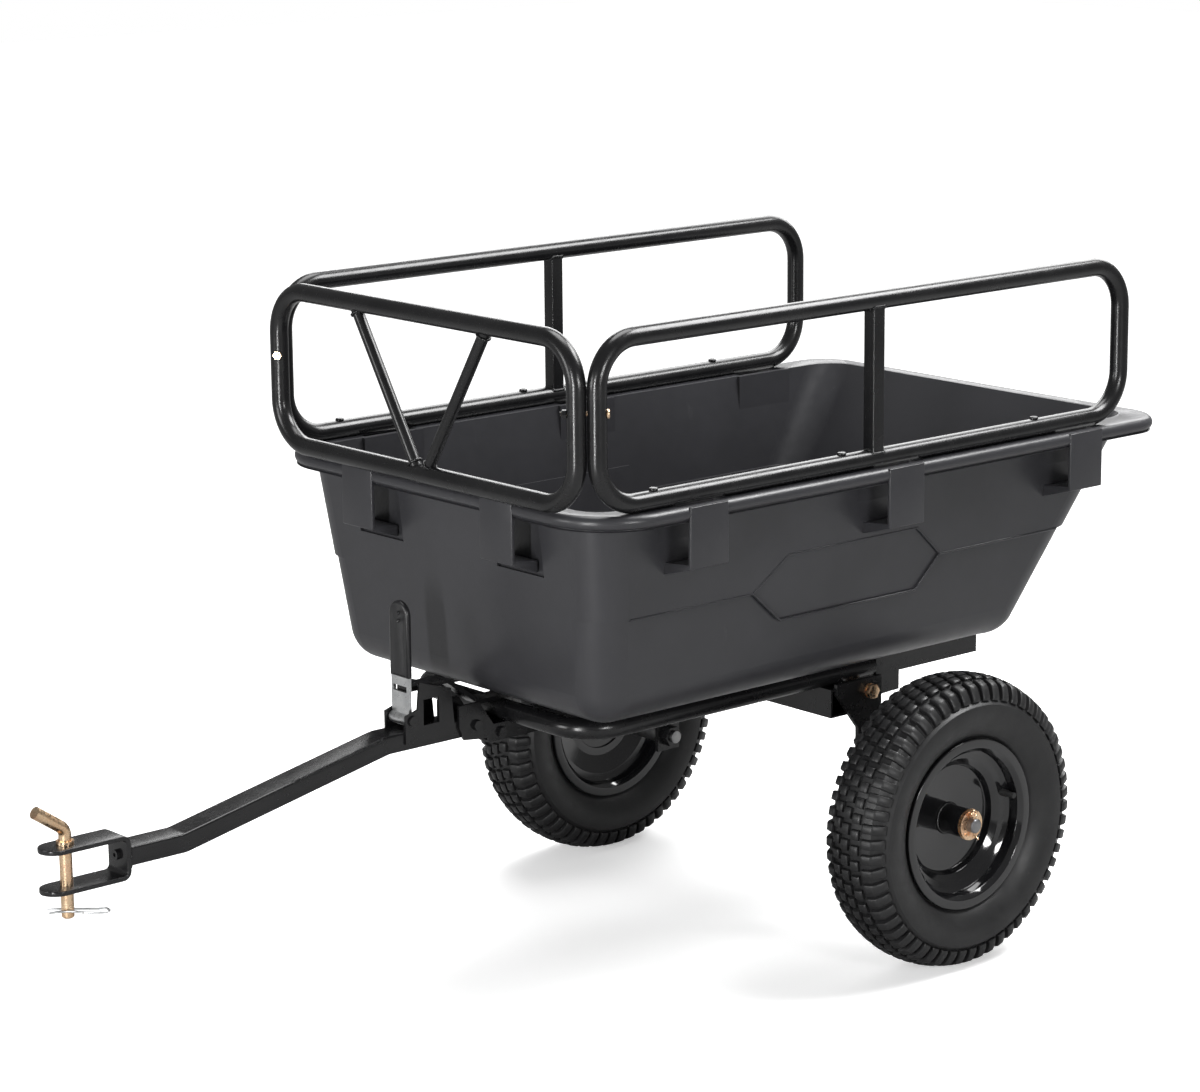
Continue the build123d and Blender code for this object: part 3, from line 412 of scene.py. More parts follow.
# ---- node trees: tubes along a path, weld beads along a seam -------------------------------
def new_tree(name, inputs):
    tree = bpy.data.node_groups.new(name, "GeometryNodeTree")
    tree.interface.new_socket("Geometry", in_out="INPUT", socket_type="NodeSocketGeometry")
    for label, kind, value in inputs:
        socket = tree.interface.new_socket(label, in_out="INPUT", socket_type=kind)
        socket.default_value = value
    tree.interface.new_socket("Geometry", in_out="OUTPUT", socket_type="NodeSocketGeometry")
    return tree, tree.nodes.new("NodeGroupInput"), tree.nodes.new("NodeGroupOutput")


def tube_tree():
    tree, given, out = new_tree("round_tube", [
        ("Radius", "NodeSocketFloat", 0.0125), ("Sides", "NodeSocketInt", 28)])
    link = tree.links.new
    line = tree.nodes.new("GeometryNodeMeshToCurve")
    ring = tree.nodes.new("GeometryNodeCurvePrimitiveCircle")
    skin = tree.nodes.new("GeometryNodeCurveToMesh")
    skin.inputs["Fill Caps"].default_value = True
    smooth = tree.nodes.new("GeometryNodeSetShadeSmooth")
    paint = tree.nodes.new("GeometryNodeSetMaterial")
    paint.inputs["Material"].default_value = FINISHES["black_steel"]
    link(given.outputs["Geometry"], line.inputs[0])
    link(given.outputs["Radius"], ring.inputs["Radius"])
    link(given.outputs["Sides"], ring.inputs["Resolution"])
    link(line.outputs[0], skin.inputs["Curve"])
    link(ring.outputs["Curve"], skin.inputs["Profile Curve"])
    link(skin.outputs[0], smooth.inputs[0])
    link(smooth.outputs[0], paint.inputs["Geometry"])
    link(paint.outputs[0], out.inputs[0])
    return tree


def bead_tree():
    """A stitched weld: one round drop at each point of a seam, each a little larger or smaller."""
    tree, given, out = new_tree("weld_bead", [
        ("Bead", "NodeSocketFloat", 0.003), ("Seed", "NodeSocketInt", 7)])
    link = tree.links.new
    drop = tree.nodes.new("GeometryNodeMeshUVSphere")
    drop.inputs["Segments"].default_value = 12
    drop.inputs["Rings"].default_value = 8
    spots = tree.nodes.new("GeometryNodeInstanceOnPoints")
    vary = tree.nodes.new("FunctionNodeRandomValue")
    vary.data_type = "FLOAT"
    vary.inputs[2].default_value = 0.88
    vary.inputs[3].default_value = 1.12
    real = tree.nodes.new("GeometryNodeRealizeInstances")
    smooth = tree.nodes.new("GeometryNodeSetShadeSmooth")
    paint = tree.nodes.new("GeometryNodeSetMaterial")
    paint.inputs["Material"].default_value = FINISHES["black_steel"]
    link(given.outputs["Geometry"], spots.inputs["Points"])
    link(given.outputs["Bead"], drop.inputs["Radius"])
    link(given.outputs["Seed"], vary.inputs["Seed"])
    link(drop.outputs["Mesh"], spots.inputs["Instance"])
    link(vary.outputs[1], spots.inputs["Scale"])
    link(spots.outputs[0], real.inputs[0])
    link(real.outputs[0], smooth.inputs[0])
    link(smooth.outputs[0], paint.inputs["Geometry"])
    link(paint.outputs[0], out.inputs[0])
    return tree


TUBE_TREE = tube_tree()
BEAD_TREE = bead_tree()


def through(tree, mesh, **sizes):
    """Run a node tree on a mesh with its named sizes, and take the plain mesh."""
    obj = loose(mesh)
    mod = obj.modifiers.new("tree", "NODES")
    mod.node_group = tree
    for item in tree.interface.items_tree:
        if item.in_out == "INPUT" and item.name in sizes:
            mod[item.identifier] = sizes[item.name]
    obj.data.update()
    return evaluated(obj)


def line_mesh(points, closed=False):
    mesh = bpy.data.meshes.new("line")
    edges = [(i, i + 1) for i in range(len(points) - 1)]
    if closed:
        edges.append((len(points) - 1, 0))
    mesh.from_pydata(points, edges, [])
    return mesh


def tube(points, radius, closed=False, sides=28):
    return outward(through(TUBE_TREE, line_mesh(points, closed), Radius=radius / 1000, Sides=sides))


def weld(points, bead=2.6):
    """A weld bead along points in the frame, stepped so that its drops overlap."""
    step = bead * 0.00062
    spots = []
    for a, b in zip(points, points[1:]):
        count = max(1, round((b - a).length / step))
        spots += [a.lerp(b, i / count) for i in range(count)]
    return through(BEAD_TREE, line_mesh(spots), Bead=bead / 1000)


def rounded_path(points, radius, closed=False, steps=10):
    """A path through points with each corner a true arc of the radius, in mm."""
    out = []
    count = len(points)
    for i, p in enumerate(points):
        if not closed and i in (0, count - 1):
            out.append(p)
            continue
        back = (points[i - 1] - p).normalized()
        on = (points[(i + 1) % count] - p).normalized()
        half = back.angle(on) / 2
        reach = radius / 1000 / abs(sin(half) / cos(half))
        centre = p + (back + on).normalized() * (radius / 1000 / sin(half))
        a, b = p + back * reach - centre, p + on * reach - centre
        whole = a.angle(b)
        for k in range(steps + 1):
            t = k / steps
            out.append(centre + (a * sin((1 - t) * whole) + b * sin(t * whole)) / sin(whole))
    return out


# ---- wheels -------------------------------------------------------------------------------
TYRE_R = 203.0
RIM_R = 116.0
SHOULDER = (194.0, 40.8)
SIDE_FULL = (152.0, 51.0)
HOOK = (118.9, 32.6)
TREAD_DEEP = 6.0
LUGS = 58


def tyre_side():
    """The tyre's outer section from the rim's hook over the shoulder to the middle."""
    wall = arc3(HOOK, SIDE_FULL, SHOULDER, 26)
    crown = arc3(SHOULDER, (TYRE_R, 0.0), (SHOULDER[0], -SHOULDER[1]), 40)
    return wall, crown[:21]


def sunk(points, depth, start_r):
    """Section points moved towards the tyre's inside, fading in from a radius."""
    out = []
    for i, (r, y) in enumerate(points):
        last = points[max(0, i - 1)]
        after = points[min(len(points) - 1, i + 1)]
        along = Vector((after[0] - last[0], after[1] - last[1])).normalized()
        normal = Vector((along.y, -along.x))
        if normal.x < 0:
            normal = -normal
        fade = min(1.0, max(0.0, (r - start_r) / 7.0))
        out.append((r - normal.x * depth * fade, y - normal.y * depth * fade))
    return out


def carcass():
    wall, crown = tyre_side()
    outer = sunk(wall + crown[1:], TREAD_DEEP, 168.0)
    outer = [p for p in outer if p[1] > 0.2]
    inner = arc3((109.0, 24.0), (152.0, 43.0), (184.0, 32.8), 8)
    bead = softened([(103.4, 24.0), (103.4, 31.6), (107.4, 35.6), (112.5, 35.6), (115.5, 32.6)],
                    1.2, 2, closed=False)
    bead = [tuple(p) for p in bead]
    half = inner[::-1] + bead + outer
    other = [(r, -y) for r, y in reversed(half)]
    return half + [(TYRE_R - TREAD_DEEP, 0.0)] + other + [(192.0, 0.0)]


def lug(path, half_width, taper, root=5.5):
    """One tread block that follows the tyre's section; x across is round the tyre."""
    sections = []
    for i, (r, y) in enumerate(path):
        last = path[max(0, i - 1)]
        after = path[min(len(path) - 1, i + 1)]
        along = Vector((after[0] - last[0], after[1] - last[1])).normalized()
        normal = Vector((along.y, -along.x))
        if normal.x < 0:
            normal = -normal
        end = min(i, len(path) - 1 - i)
        lift = -1.2 if end == 0 else 0.0
        top = half_width - taper
        foot = half_width + taper
        ring = []
        for across, out in ((-foot, -root), (-top - 0.4, lift - 0.9), (-top + 0.7, lift),
                            (top - 0.7, lift), (top + 0.4, lift - 0.9), (foot, -root)):
            ring.append(Vector((r + normal.x * out, y + normal.y * out, across)))
        sections.append(ring)
    verts = [Vector((v.z, v.y, v.x)) / 1000 for ring in sections for v in ring]
    count = 6
    faces = []
    for s in range(len(sections) - 1):
        a, b = s * count, (s + 1) * count
        faces += [(a + i, a + (i + 1) % count, b + (i + 1) % count, b + i) for i in range(count)]
    last = (len(sections) - 1) * count
    faces += [tuple(range(count)), tuple(range(last, last + count))]
    mesh = bpy.data.meshes.new("lug")
    mesh.from_pydata(verts, [], faces)
    return shade(outward(mesh), 40)


def tread_tree():
    """Tread blocks of one kind, evenly round the wheel."""
    tree, given, out = new_tree("tread_ring", [
        ("Count", "NodeSocketInt", LUGS), ("Turn", "NodeSocketFloat", 0.0)])
    link = tree.links.new
    line = tree.nodes.new("GeometryNodeMeshLine")
    line.inputs["Offset"].default_value = (0, 0, 0)
    link(given.outputs["Count"], line.inputs["Count"])
    spots = tree.nodes.new("GeometryNodeInstanceOnPoints")
    link(line.outputs[0], spots.inputs["Points"])
    link(given.outputs["Geometry"], spots.inputs["Instance"])
    index = tree.nodes.new("GeometryNodeInputIndex")
    divide = tree.nodes.new("ShaderNodeMath")
    divide.operation = "DIVIDE"
    link(index.outputs[0], divide.inputs[0])
    link(given.outputs["Count"], divide.inputs[1])
    full = tree.nodes.new("ShaderNodeMath")
    full.operation = "MULTIPLY_ADD"
    link(divide.outputs[0], full.inputs[0])
    full.inputs[1].default_value = 2 * pi
    link(given.outputs["Turn"], full.inputs[2])
    turn = tree.nodes.new("ShaderNodeCombineXYZ")
    link(full.outputs[0], turn.inputs["Y"])
    link(turn.outputs[0], spots.inputs["Rotation"])
    real = tree.nodes.new("GeometryNodeRealizeInstances")
    link(spots.outputs[0], real.inputs[0])
    paint = tree.nodes.new("GeometryNodeSetMaterial")
    paint.inputs["Material"].default_value = FINISHES["tyre"]
    link(real.outputs[0], paint.inputs["Geometry"])
    link(paint.outputs[0], out.inputs[0])
    return tree


TREAD_TREE = tread_tree()


def tyre_mesh():
    """A tyre about the Y axis at the origin: carcass, shoulder lugs and two rows of centre blocks."""
    wall, crown = tyre_side()
    section = wall + crown[1:]
    shoulder = [p for p in section if p[0] > 173.0 and p[1] > 26.0]
    middle = [p for p in section if 8.5 < p[1] < 24.0]
    pitch = 2 * pi / LUGS
    body = shade(turned(carcass(), Vector((0, 0, 0)), 176), 30)
    rings = [body]
    for side in (1, -1):
        flip = Matrix.Scale(side, 4, (0, 1, 0))
        offset = 0.0 if side > 0 else pitch / 2
        long_lug = moved(lug(shoulder, 6.3, 0.6), flip)
        rings.append(through(TREAD_TREE, long_lug, Count=LUGS, Turn=offset))
        block = moved(lug(middle, 6.6, 0.5), flip)
        rings.append(through(TREAD_TREE, block, Count=LUGS, Turn=offset + pitch / 2))
    centre = lug([(TYRE_R - 0.15, 6.0), (TYRE_R, 0.0), (TYRE_R - 0.15, -6.0)], 7.4, 0.5)
    rings.append(through(TREAD_TREE, centre, Count=LUGS, Turn=pitch * 0.25))
    return joined(*rings)


def rim_profile(points):
    return softened(points, 1.6, 4)


def rim_outer_profile():
    f = RIM_R
    return rim_profile([
        (f, 33), (f, 36), (f - 9, 36), (f - 13, 32), (f - 13, 12), (f - 24, 8), (f - 28, -4),
        (74, -6), (20, -6), (20, -3.5), (74, -3.5), (77, 6), (86, 12), (f - 22, 14), (f - 16, 18),
        (f - 16, 33), (f - 10, 39), (f + 2.5, 39), (f + 2.5, 33)])


def rim_inner_profile():
    f = RIM_R
    return rim_profile([
        (f, -33), (f, -36), (f - 9, -36), (f - 13, -32), (f - 13, -14), (f - 26, -12), (64, -6),
        (50, -6), (50, -8.5), (62, -8.5), (f - 28, -17), (f - 16, -19), (f - 16, -33),
        (f - 10, -39), (f + 2.5, -39), (f + 2.5, -33)])


def hub_profile():
    return softened([(20, -48), (20, 36), (17.5, 36), (17.5, 25), (14, 25), (14, -37), (17.5, -37),
                     (17.5, -48)], 0.7, 2)


def make_wheels():
    tyre = tyre_mesh()
    outer = shade(turned(rim_outer_profile(), Vector((0, 0, 0)), 144), 40)
    inner = shade(turned(rim_inner_profile(), Vector((0, 0, 0)), 144), 40)
    tube_mesh = shade(turned(hub_profile(), Vector((0, 0, 0)), 64), 30)
    ring = [Vector((0.0205 * cos(t * pi / 32), -0.0028, 0.0205 * sin(t * pi / 32))) for t in range(65)]
    seam = weld(ring, 2.0)
    for side, flip in (("left", Matrix.Identity(4)), ("right", RIGHT_SIDE)):
        place = flip @ Matrix.Translation(mm(0, WHEEL_Y, HUB_Z))
        body = f"{side}_wheel"
        place_piece(moved(tyre, place), f"{side}_tread_tyre", body, "tyre", f"{side}_tyre")
        place_piece(moved(outer, place), f"{side}_rim_face", body, "gloss_rim", f"{side}_rim_outer")
        place_piece(moved(inner, place), f"{side}_rim_back", body, "gloss_rim", f"{side}_rim_inner")
        place_piece(moved(joined(tube_mesh, seam), place), f"{side}_hub_tube", body, "gloss_rim",
                    f"{side}_hub")


make_wheels()


# ---- rails --------------------------------------------------------------------------------
RAIL_LOW, RAIL_TOP = 712.5, 922.5
RAIL_Y = 325.7
RAIL_REAR, RAIL_FRONT = -373.5, 591.5
FRONT_X, FRONT_HALF = 610.5, 308.8
RAIL_R, BEND_R = 12.5, 60.0
POST_X, POST_HALF = 111.0, 10.0
BRACE_R, BRACE_FOOT_Y, BRACE_HEAD_Y = 8.0, 9, 137


def box_tube(low, high, half, axis, round_r=2.2):
    """A square tube with rounded corners, in mm about the axis point, from low to high along Z."""
    corner = softened([(-half, -half), (half, -half), (half, half), (-half, half)], round_r, 4)
    x, y = axis
    rings = [[mm(x + p.x, y + p.y, z) for p in corner] for z in (low, high)]
    return shade(swept("post", rings), 30)


def ring_weld(centre, radius, axis, bead=2.2):
    """A weld bead round a tube that meets another square on."""
    spots = []
    for t in range(49):
        a = 2 * pi * t / 48
        spots.append(centre + (axis[0] * cos(a) + axis[1] * sin(a)) * radius / 1000)
    return weld(spots, bead)


def saddle(x, y, z, half, up, bead=2.2, plane="x"):
    """A weld bead round a square post where it meets a round rail that runs along X or Y."""
    spots = []
    ring = softened([(-half, -half), (half, -half), (half, half), (-half, half)], 2.2, 3)
    ring = ring + ring[:1]
    for a, b in zip(ring, ring[1:]):
        for k in range(3):
            p = a.lerp(b, k / 3)
            across = p.y if plane == "x" else p.x
            drop = (RAIL_R ** 2 - min(abs(across), RAIL_R - 0.4) ** 2) ** 0.5
            spots.append(mm(x + p.x, y + p.y, z + up * drop))
    spots.append(spots[0])
    return weld(spots, bead)


def side_rail_path():
    corners = [mm(RAIL_REAR, RAIL_Y, RAIL_LOW), mm(RAIL_FRONT, RAIL_Y, RAIL_LOW),
               mm(RAIL_FRONT, RAIL_Y, RAIL_TOP), mm(RAIL_REAR, RAIL_Y, RAIL_TOP)]
    return rounded_path(corners, BEND_R, closed=True, steps=14)


def make_rails():
    loop = tube(side_rail_path(), RAIL_R, closed=True)
    post = box_tube(RAIL_LOW, RAIL_TOP, POST_HALF, (POST_X, RAIL_Y))
    seams = [saddle(POST_X, RAIL_Y, z, POST_HALF, up) for z, up in ((RAIL_LOW, 1), (RAIL_TOP, -1))]
    for side, flip in (("left", Matrix.Identity(4)), ("right", RIGHT_SIDE)):
        place_piece(moved(loop, flip), f"{side}_rail", "bed", "black_steel", f"{side}_rail_loop")
        place_piece(moved(joined(post, *seams), flip), f"{side}_post", "bed", "black_steel",
                    f"{side}_rail_post")
    corners = [mm(FRONT_X, -FRONT_HALF, RAIL_LOW), mm(FRONT_X, FRONT_HALF, RAIL_LOW),
               mm(FRONT_X, FRONT_HALF, RAIL_TOP), mm(FRONT_X, -FRONT_HALF, RAIL_TOP)]
    front = tube(rounded_path(corners, BEND_R, closed=True, steps=14), RAIL_R, closed=True)
    place_piece(front, "front_rail", "bed", "black_steel", "front_rail_loop")
    parts = []
    for side in (-1, 1):
        foot = mm(FRONT_X, side * BRACE_FOOT_Y, RAIL_LOW + 3)
        head = mm(FRONT_X, side * BRACE_HEAD_Y, RAIL_TOP - 3)
        parts.append(tube([foot, head], BRACE_R, sides=24))
        way = (head - foot).normalized()
        across = way.cross(Vector((1, 0, 0))).normalized()
        for point, lift in ((foot, 0.0125), (head, -0.0125)):
            centre = point + way * lift
            parts.append(ring_weld(centre, 8.6, (Vector((1, 0, 0)), across), 1.9))
    place_piece(joined(*parts), "front_braces", "bed", "black_steel", "front_rail_braces")


make_rails()


# ---- drawbar ------------------------------------------------------------------------------
def make_drawbar():
    """A flat-sided bar with two bends, a stitched seam on its slope and a weld at its nose."""
    half_w, half_h = 20.0, 12.5
    bend_x, bend_z, nose_z, slope_end = 690.0, 366.0, 301.5, 1010.0
    path = [(524.0, bend_z), (bend_x, bend_z), (slope_end, nose_z), (1095.0, nose_z)]
    points = rounded_path([Vector((x, 0, z)) / 1000 for x, z in path], 45, steps=6)
    section = softened([(-half_w, -half_h), (half_w, -half_h), (half_w, half_h), (-half_w, half_h)],
                       3.0, 4)
    rings = []
    for i, p in enumerate(points):
        along = (points[min(i + 1, len(points) - 1)] - points[max(i - 1, 0)]).normalized()
        up = Vector((-along.z, 0, along.x))
        centre = mm(p.x * 1000, 0, p.z * 1000)
        rings.append([centre + Vector((0, q.x, 0)) / 1000 + up * q.y / 1000 for q in section])
    bar = shade(swept("drawbar", rings), 30)
    seam = []
    for x in (700.0, 845.0):
        z = bend_z - (x - bend_x) * (bend_z - nose_z) / (slope_end - bend_x) + half_h - 1.0
        seam.append(mm(x, half_w - 1.2, z))
    nose = [mm(1093.6, y, z) for y, z in ((-20, 289), (20, 289), (20, 314), (-20, 314), (-20, 289))]
    place_piece(joined(bar, weld(seam, 2.4), weld(nose, 2.2)), "bent_drawbar", "chassis",
                "black_steel", "drawbar")


make_drawbar()


# ---- bed tube -----------------------------------------------------------------------------
def make_bed_tube():
    """The U of pipe under the tub."""
    rear, front, half, z = -30, 492, 182, 378
    corners = [mm(rear, half, z), mm(front, half, z), mm(front, -half, z), mm(rear, -half, z)]
    pipe = tube(rounded_path(corners, 55, steps=14), 14.0)
    place_piece(pipe, "bed_pipe", "bed", "black_steel", "bed_tube")


make_bed_tube()


# ---- tub rim and stake straps -------------------------------------------------------------
TUB_TOP = 700.0
RIM_OUT = {"front": 608.5, "rear": -459.0, "half": 349.5, "front_r": 97.0, "rear_r": 60.0}
RIM_IN = {"front": 575.3, "rear": -430.2, "half": 303.3, "front_r": 45.0, "rear_r": 45.0}
STRAP_HALF, STRAP_THICK = 32.5, 5.0
RIM_DEEP = 19.6
SIDE_POCKETS = (426.0, 71.0, -283.0)
FRONT_POCKETS = (-145.5, 145.5)


def rim_outline(size, arc_steps=16, run_steps=12):
    """Points round the tub's rim in plan, the same number for any size of outline."""
    f, b, h = size["front"], size["rear"], size["half"]
    corners = ((f, h, size["front_r"], 0), (b, h, size["rear_r"], 90),
               (b, -h, size["rear_r"], 180), (f, -h, size["front_r"], 270))
    arcs = []
    for x, y, r, start in corners:
        cx = x - r if x > 0 else x + r
        cy = y - r if y > 0 else y + r
        arcs.append([(cx + r * cos(radians(start + 90 * k / arc_steps)),
                      cy + r * sin(radians(start + 90 * k / arc_steps))) for k in range(arc_steps + 1)])
    out = []
    for i, arc in enumerate(arcs):
        out += arc
        a, b = Vector(arc[-1]), Vector(arcs[(i + 1) % 4][0])
        out += [tuple(a.lerp(b, k / run_steps)) for k in range(1, run_steps)]
    return out


def rim_rings():
    """Sections of the rim: a soft inner edge, a flat top, and a rolled outer band."""
    roll, thick = 9.5, 4.5
    rings = []
    for (ox, oy), (ix, iy) in zip(rim_outline(RIM_OUT), rim_outline(RIM_IN)):
        out_way = Vector((ox - ix, oy - iy)).normalized()
        inner, outer = Vector((ix, iy)), Vector((ox, oy))
        section = [(inner, -0.1, TUB_TOP - 9), (inner, -0.1, TUB_TOP - 3), (inner, 0.6, TUB_TOP - 0.8),
                   (inner, 2.4, TUB_TOP + 0.35), (outer, -roll - 2, TUB_TOP + 0.35)]
        for k in range(11):
            a = radians(90 - 16 * k)
            section.append((outer, roll * cos(a) - roll, TUB_TOP + 0.35 - roll + roll * sin(a)))
        section.append((outer, -2.6, TUB_TOP - RIM_DEEP))
        section.append((outer, -5.6, TUB_TOP - RIM_DEEP))
        for k in range(7):
            a = radians(-60 + 25 * k)
            inside = roll - thick
            section.append((outer, inside * cos(a) - roll, TUB_TOP + 0.35 - roll + inside * sin(a)))
        section.append((inner, 6.0, TUB_TOP - 4.6))
        section.append((inner, 5.2, TUB_TOP - 9))
        rings.append([mm(b.x + out_way.x * o, b.y + out_way.y * o, z) for b, o, z in section])
    return rings


def pocket_places():
    """Each stake pocket: a point on the rim's edge, the way out of the wall, and the foot's reach."""
    for x in SIDE_POCKETS:
        for side in (1, -1):
            yield Vector((x, side * RIM_OUT["half"], 0)), Vector((0, side, 0)), 53.0
    for y in FRONT_POCKETS:
        yield Vector((RIM_OUT["front"], y, 0)), Vector((1, 0, 0)), 43.0


def block(corner_rings, bevel):
    """A closed prism between two outlines, with its edges rounded."""
    obj = loose(swept("block", corner_rings))
    mod = obj.modifiers.new("round", "BEVEL")
    mod.width = bevel / 1000
    mod.segments = 3
    mod.limit_method = "ANGLE"
    mod.angle_limit = radians(25)
    return shade(evaluated(obj), 50)


def pocket_point(place, way, out, side, z):
    """A point of a pocket: out from the rim's edge, to one side of its middle, and at a height."""
    p = place + way * out + Vector((-way.y, way.x, 0)) * side
    return mm(p.x, p.y, z)


def stake_strap(place, way, reach):
    """A strap down from the rim, with a level foot that reaches back to the wall."""
    t, top = STRAP_THICK, TUB_TOP - 0.6
    outline = [(0.3, top), (0.3, 619), (-reach, 604), (-reach, 620), (-t, 625), (-t, top)]
    rings = [[pocket_point(place, way, out, side, z) for out, z in outline]
             for side in (-STRAP_HALF, STRAP_HALF)]
    return block(rings, 1.3)


def slot_cutter(place, way):
    """The room of one stake slot through the rim's top."""
    half, near, far = 44, -11.5, -42
    outline = ((far, -half), (near, -half), (near, half), (far, half))
    rings = [[pocket_point(place, way, out, side, z) for out, side in outline]
             for z in (TUB_TOP - 15, TUB_TOP + 5)]
    return swept("cutter", rings)


def cut(mesh, tool):
    """The mesh less the tool's room."""
    obj, other = loose(mesh), loose(tool)
    mod = obj.modifiers.new("cut", "BOOLEAN")
    mod.operation = "DIFFERENCE"
    mod.solver = "EXACT"
    mod.object = other
    result = evaluated(obj)
    bpy.data.objects.remove(other)
    return result


def make_rim():
    ring = swept("rim", rim_rings(), closed=True)
    cutters = joined(*[slot_cutter(place, way) for place, way, reach in pocket_places()])
    ring = shade(outward(cut(ring, cutters)), 38)
    place_piece(ring, "rolled_rim", "bed", "black_poly", "tub_rim")
    straps = joined(*[stake_strap(*pocket) for pocket in pocket_places()])
    place_piece(straps, "pocket_straps", "bed", "black_poly", "stake_straps")


make_rim()


# ---- moulded edges of the tub's walls -----------------------------------------------------
STEP_Z, STEP_IN = 553.0, 6.0
WALL_HALF, SIDE_DRAFT = 308.5, 0.10
WALL_FRONT, FRONT_DRAFT = 580.5, 0.125


def side_wall(x, z):
    return mm(x, WALL_HALF - SIDE_DRAFT * (TUB_TOP - z) - 0.6, z)


def front_wall(y, z):
    step = STEP_IN if z < STEP_Z else 0
    return mm(WALL_FRONT - FRONT_DRAFT * (TUB_TOP - z) - step - 0.4, y, z)


def make_wall_edges():
    """The raised edges of the band and panel on each side wall, and the front wall's rib and pips."""
    jog = 45.0
    band = [(512, STEP_Z), (299, STEP_Z), (246, STEP_Z - jog), (-8, STEP_Z - jog), (-51, STEP_Z),
            (-285, STEP_Z)]
    panel = [(299, STEP_Z), (239, STEP_Z + 44), (-2, STEP_Z + 44), (-51, STEP_Z)]
    edges = joined(*[tube([side_wall(x, z) for x, z in run], 1.8, sides=12) for run in (band, panel)])
    place_piece(joined(edges, moved(edges, RIGHT_SIDE)), "side_wall_edges", "bed", "black_poly")
    rib = tube([front_wall(-18, 515), front_wall(-22, 432)], 2.2, sides=12)
    dome = turned(softened([(0.02, 1.6), (1.6, 1.3), (2.6, 0.2), (2.6, -1.5), (0.02, -1.5)], 0.4, 3),
                  Vector((0, 0, 0)), 20)
    face_front = Matrix.Rotation(radians(-90), 4, "Z")
    pips = [moved(dome, Matrix.Translation(front_wall(y, z)) @ face_front)
            for y, z in ((-112, 519), (86, 519), (97, 466))]
    place_piece(joined(rib, *pips), "front_wall_marks", "bed", "black_poly")


make_wall_edges()


# ---- clevis -------------------------------------------------------------------------------
def make_clevis():
    """One flat bar bent into a C, with both ends rounded in plan."""
    half, thick, tip, web, high, low = 22.0, 6.0, 1210.0, 1096, 327.5, 275.5
    corners = ((tip, high), (web, high), (web, low), (tip, low))
    path = rounded_path([Vector((x, 0, z)) / 1000 for x, z in corners], 9, steps=6)
    ends = [0.2, 0.8, 2, 4, 7, 11, 16, 22]

    def round_end(setbacks, z):
        return [(Vector((tip - s, 0, z)) / 1000, (half ** 2 - (half - s) ** 2) ** 0.5) for s in setbacks]

    stations = round_end(ends, high) + [(p, half) for p in path[1:-1]]
    stations += round_end(reversed(ends), low)
    rings = []
    for i, (p, wide) in enumerate(stations):
        a, b = stations[max(i - 1, 0)][0], stations[min(i + 1, len(stations) - 1)][0]
        along = (b - a).normalized()
        up = Vector((-along.z, 0, along.x))
        soft = min(1.4, wide * 0.5)
        section = softened([(-wide, -thick / 2), (wide, -thick / 2), (wide, thick / 2),
                            (-wide, thick / 2)], soft, 3)
        centre = mm(p.x * 1000, 0, p.z * 1000)
        rings.append([centre + Vector((0, q.x, 0)) / 1000 + up * q.y / 1000 for q in section])
    place_piece(shade(swept("clevis", rings), 40), "bent_clevis", "chassis", "black_steel",
                "hitch_clevis")


make_clevis()


# ---- pivot bolts --------------------------------------------------------------------------
PIVOT_Z = 353.0


def hexagon(flat, low, high, x, z):
    """A hexagon head or nut along Y from low to high, its edges rounded."""
    r = flat / 2 / cos(pi / 6)
    rings = [[mm(x + r * cos(k * pi / 3), y, z + r * sin(k * pi / 3)) for k in range(6)]
             for y in (low, high)]
    return block(rings, 1.0)


def round_bar(r, low, high, x, z, sides=32):
    """A round bar along Y from low to high, its ends rounded."""
    rings = [[mm(x + r * cos(k * 2 * pi / sides), y, z + r * sin(k * 2 * pi / sides))
              for k in range(sides)] for y in (low, high)]
    return block(rings, 0.6)


def make_pivot_bolts():
    """Bright bolts through black nuts; both sides are one piece with two finishes."""
    bright = joined(hexagon(19, 213.5, 221.5, 0, PIVOT_Z), round_bar(6, 163.5, 213.6, 0, PIVOT_Z))
    dark = hexagon(19, 166.2, 176.2, 0, PIVOT_Z)
    both = joined(bright, moved(bright, RIGHT_SIDE), dark, moved(dark, RIGHT_SIDE))
    bright_faces = 2 * len(bright.polygons)
    piece = place_piece(both, "pivot_bolt_set", "chassis", "yellow_zinc", "pivot_bolts")
    piece.data.materials.append(FINISHES["black_steel"])
    for face in piece.data.polygons[bright_faces:]:
        face.material_index = 1


make_pivot_bolts()


# ---- corner bolts and axle nuts -----------------------------------------------------------
def make_corner_bolts():
    """Bright heads and dark nuts: the left bolt's head is on the side rail, the right one's in front."""
    mesh = NODES["rail_corner_bolts"].data.copy()
    bm = bmesh.new()
    bm.from_mesh(mesh)
    bmesh.ops.remove_doubles(bm, verts=bm.verts, dist=1e-6)
    bm.to_mesh(mesh)
    bm.free()
    piece = place_piece(shade(mesh, 40), "corner_bolt_set", "bed", "yellow_zinc", "rail_corner_bolts")
    piece.data.materials.append(FINISHES["black_steel"])
    split = mm(FRONT_X - 6, 0, 0).x
    for face in piece.data.polygons:
        in_front, on_left = face.center.x > split, face.center.y > 0
        face.material_index = 1 if in_front == on_left else 0


make_corner_bolts()
NODES["axle_nuts"].data.materials[0] = FINISHES["black_steel"]


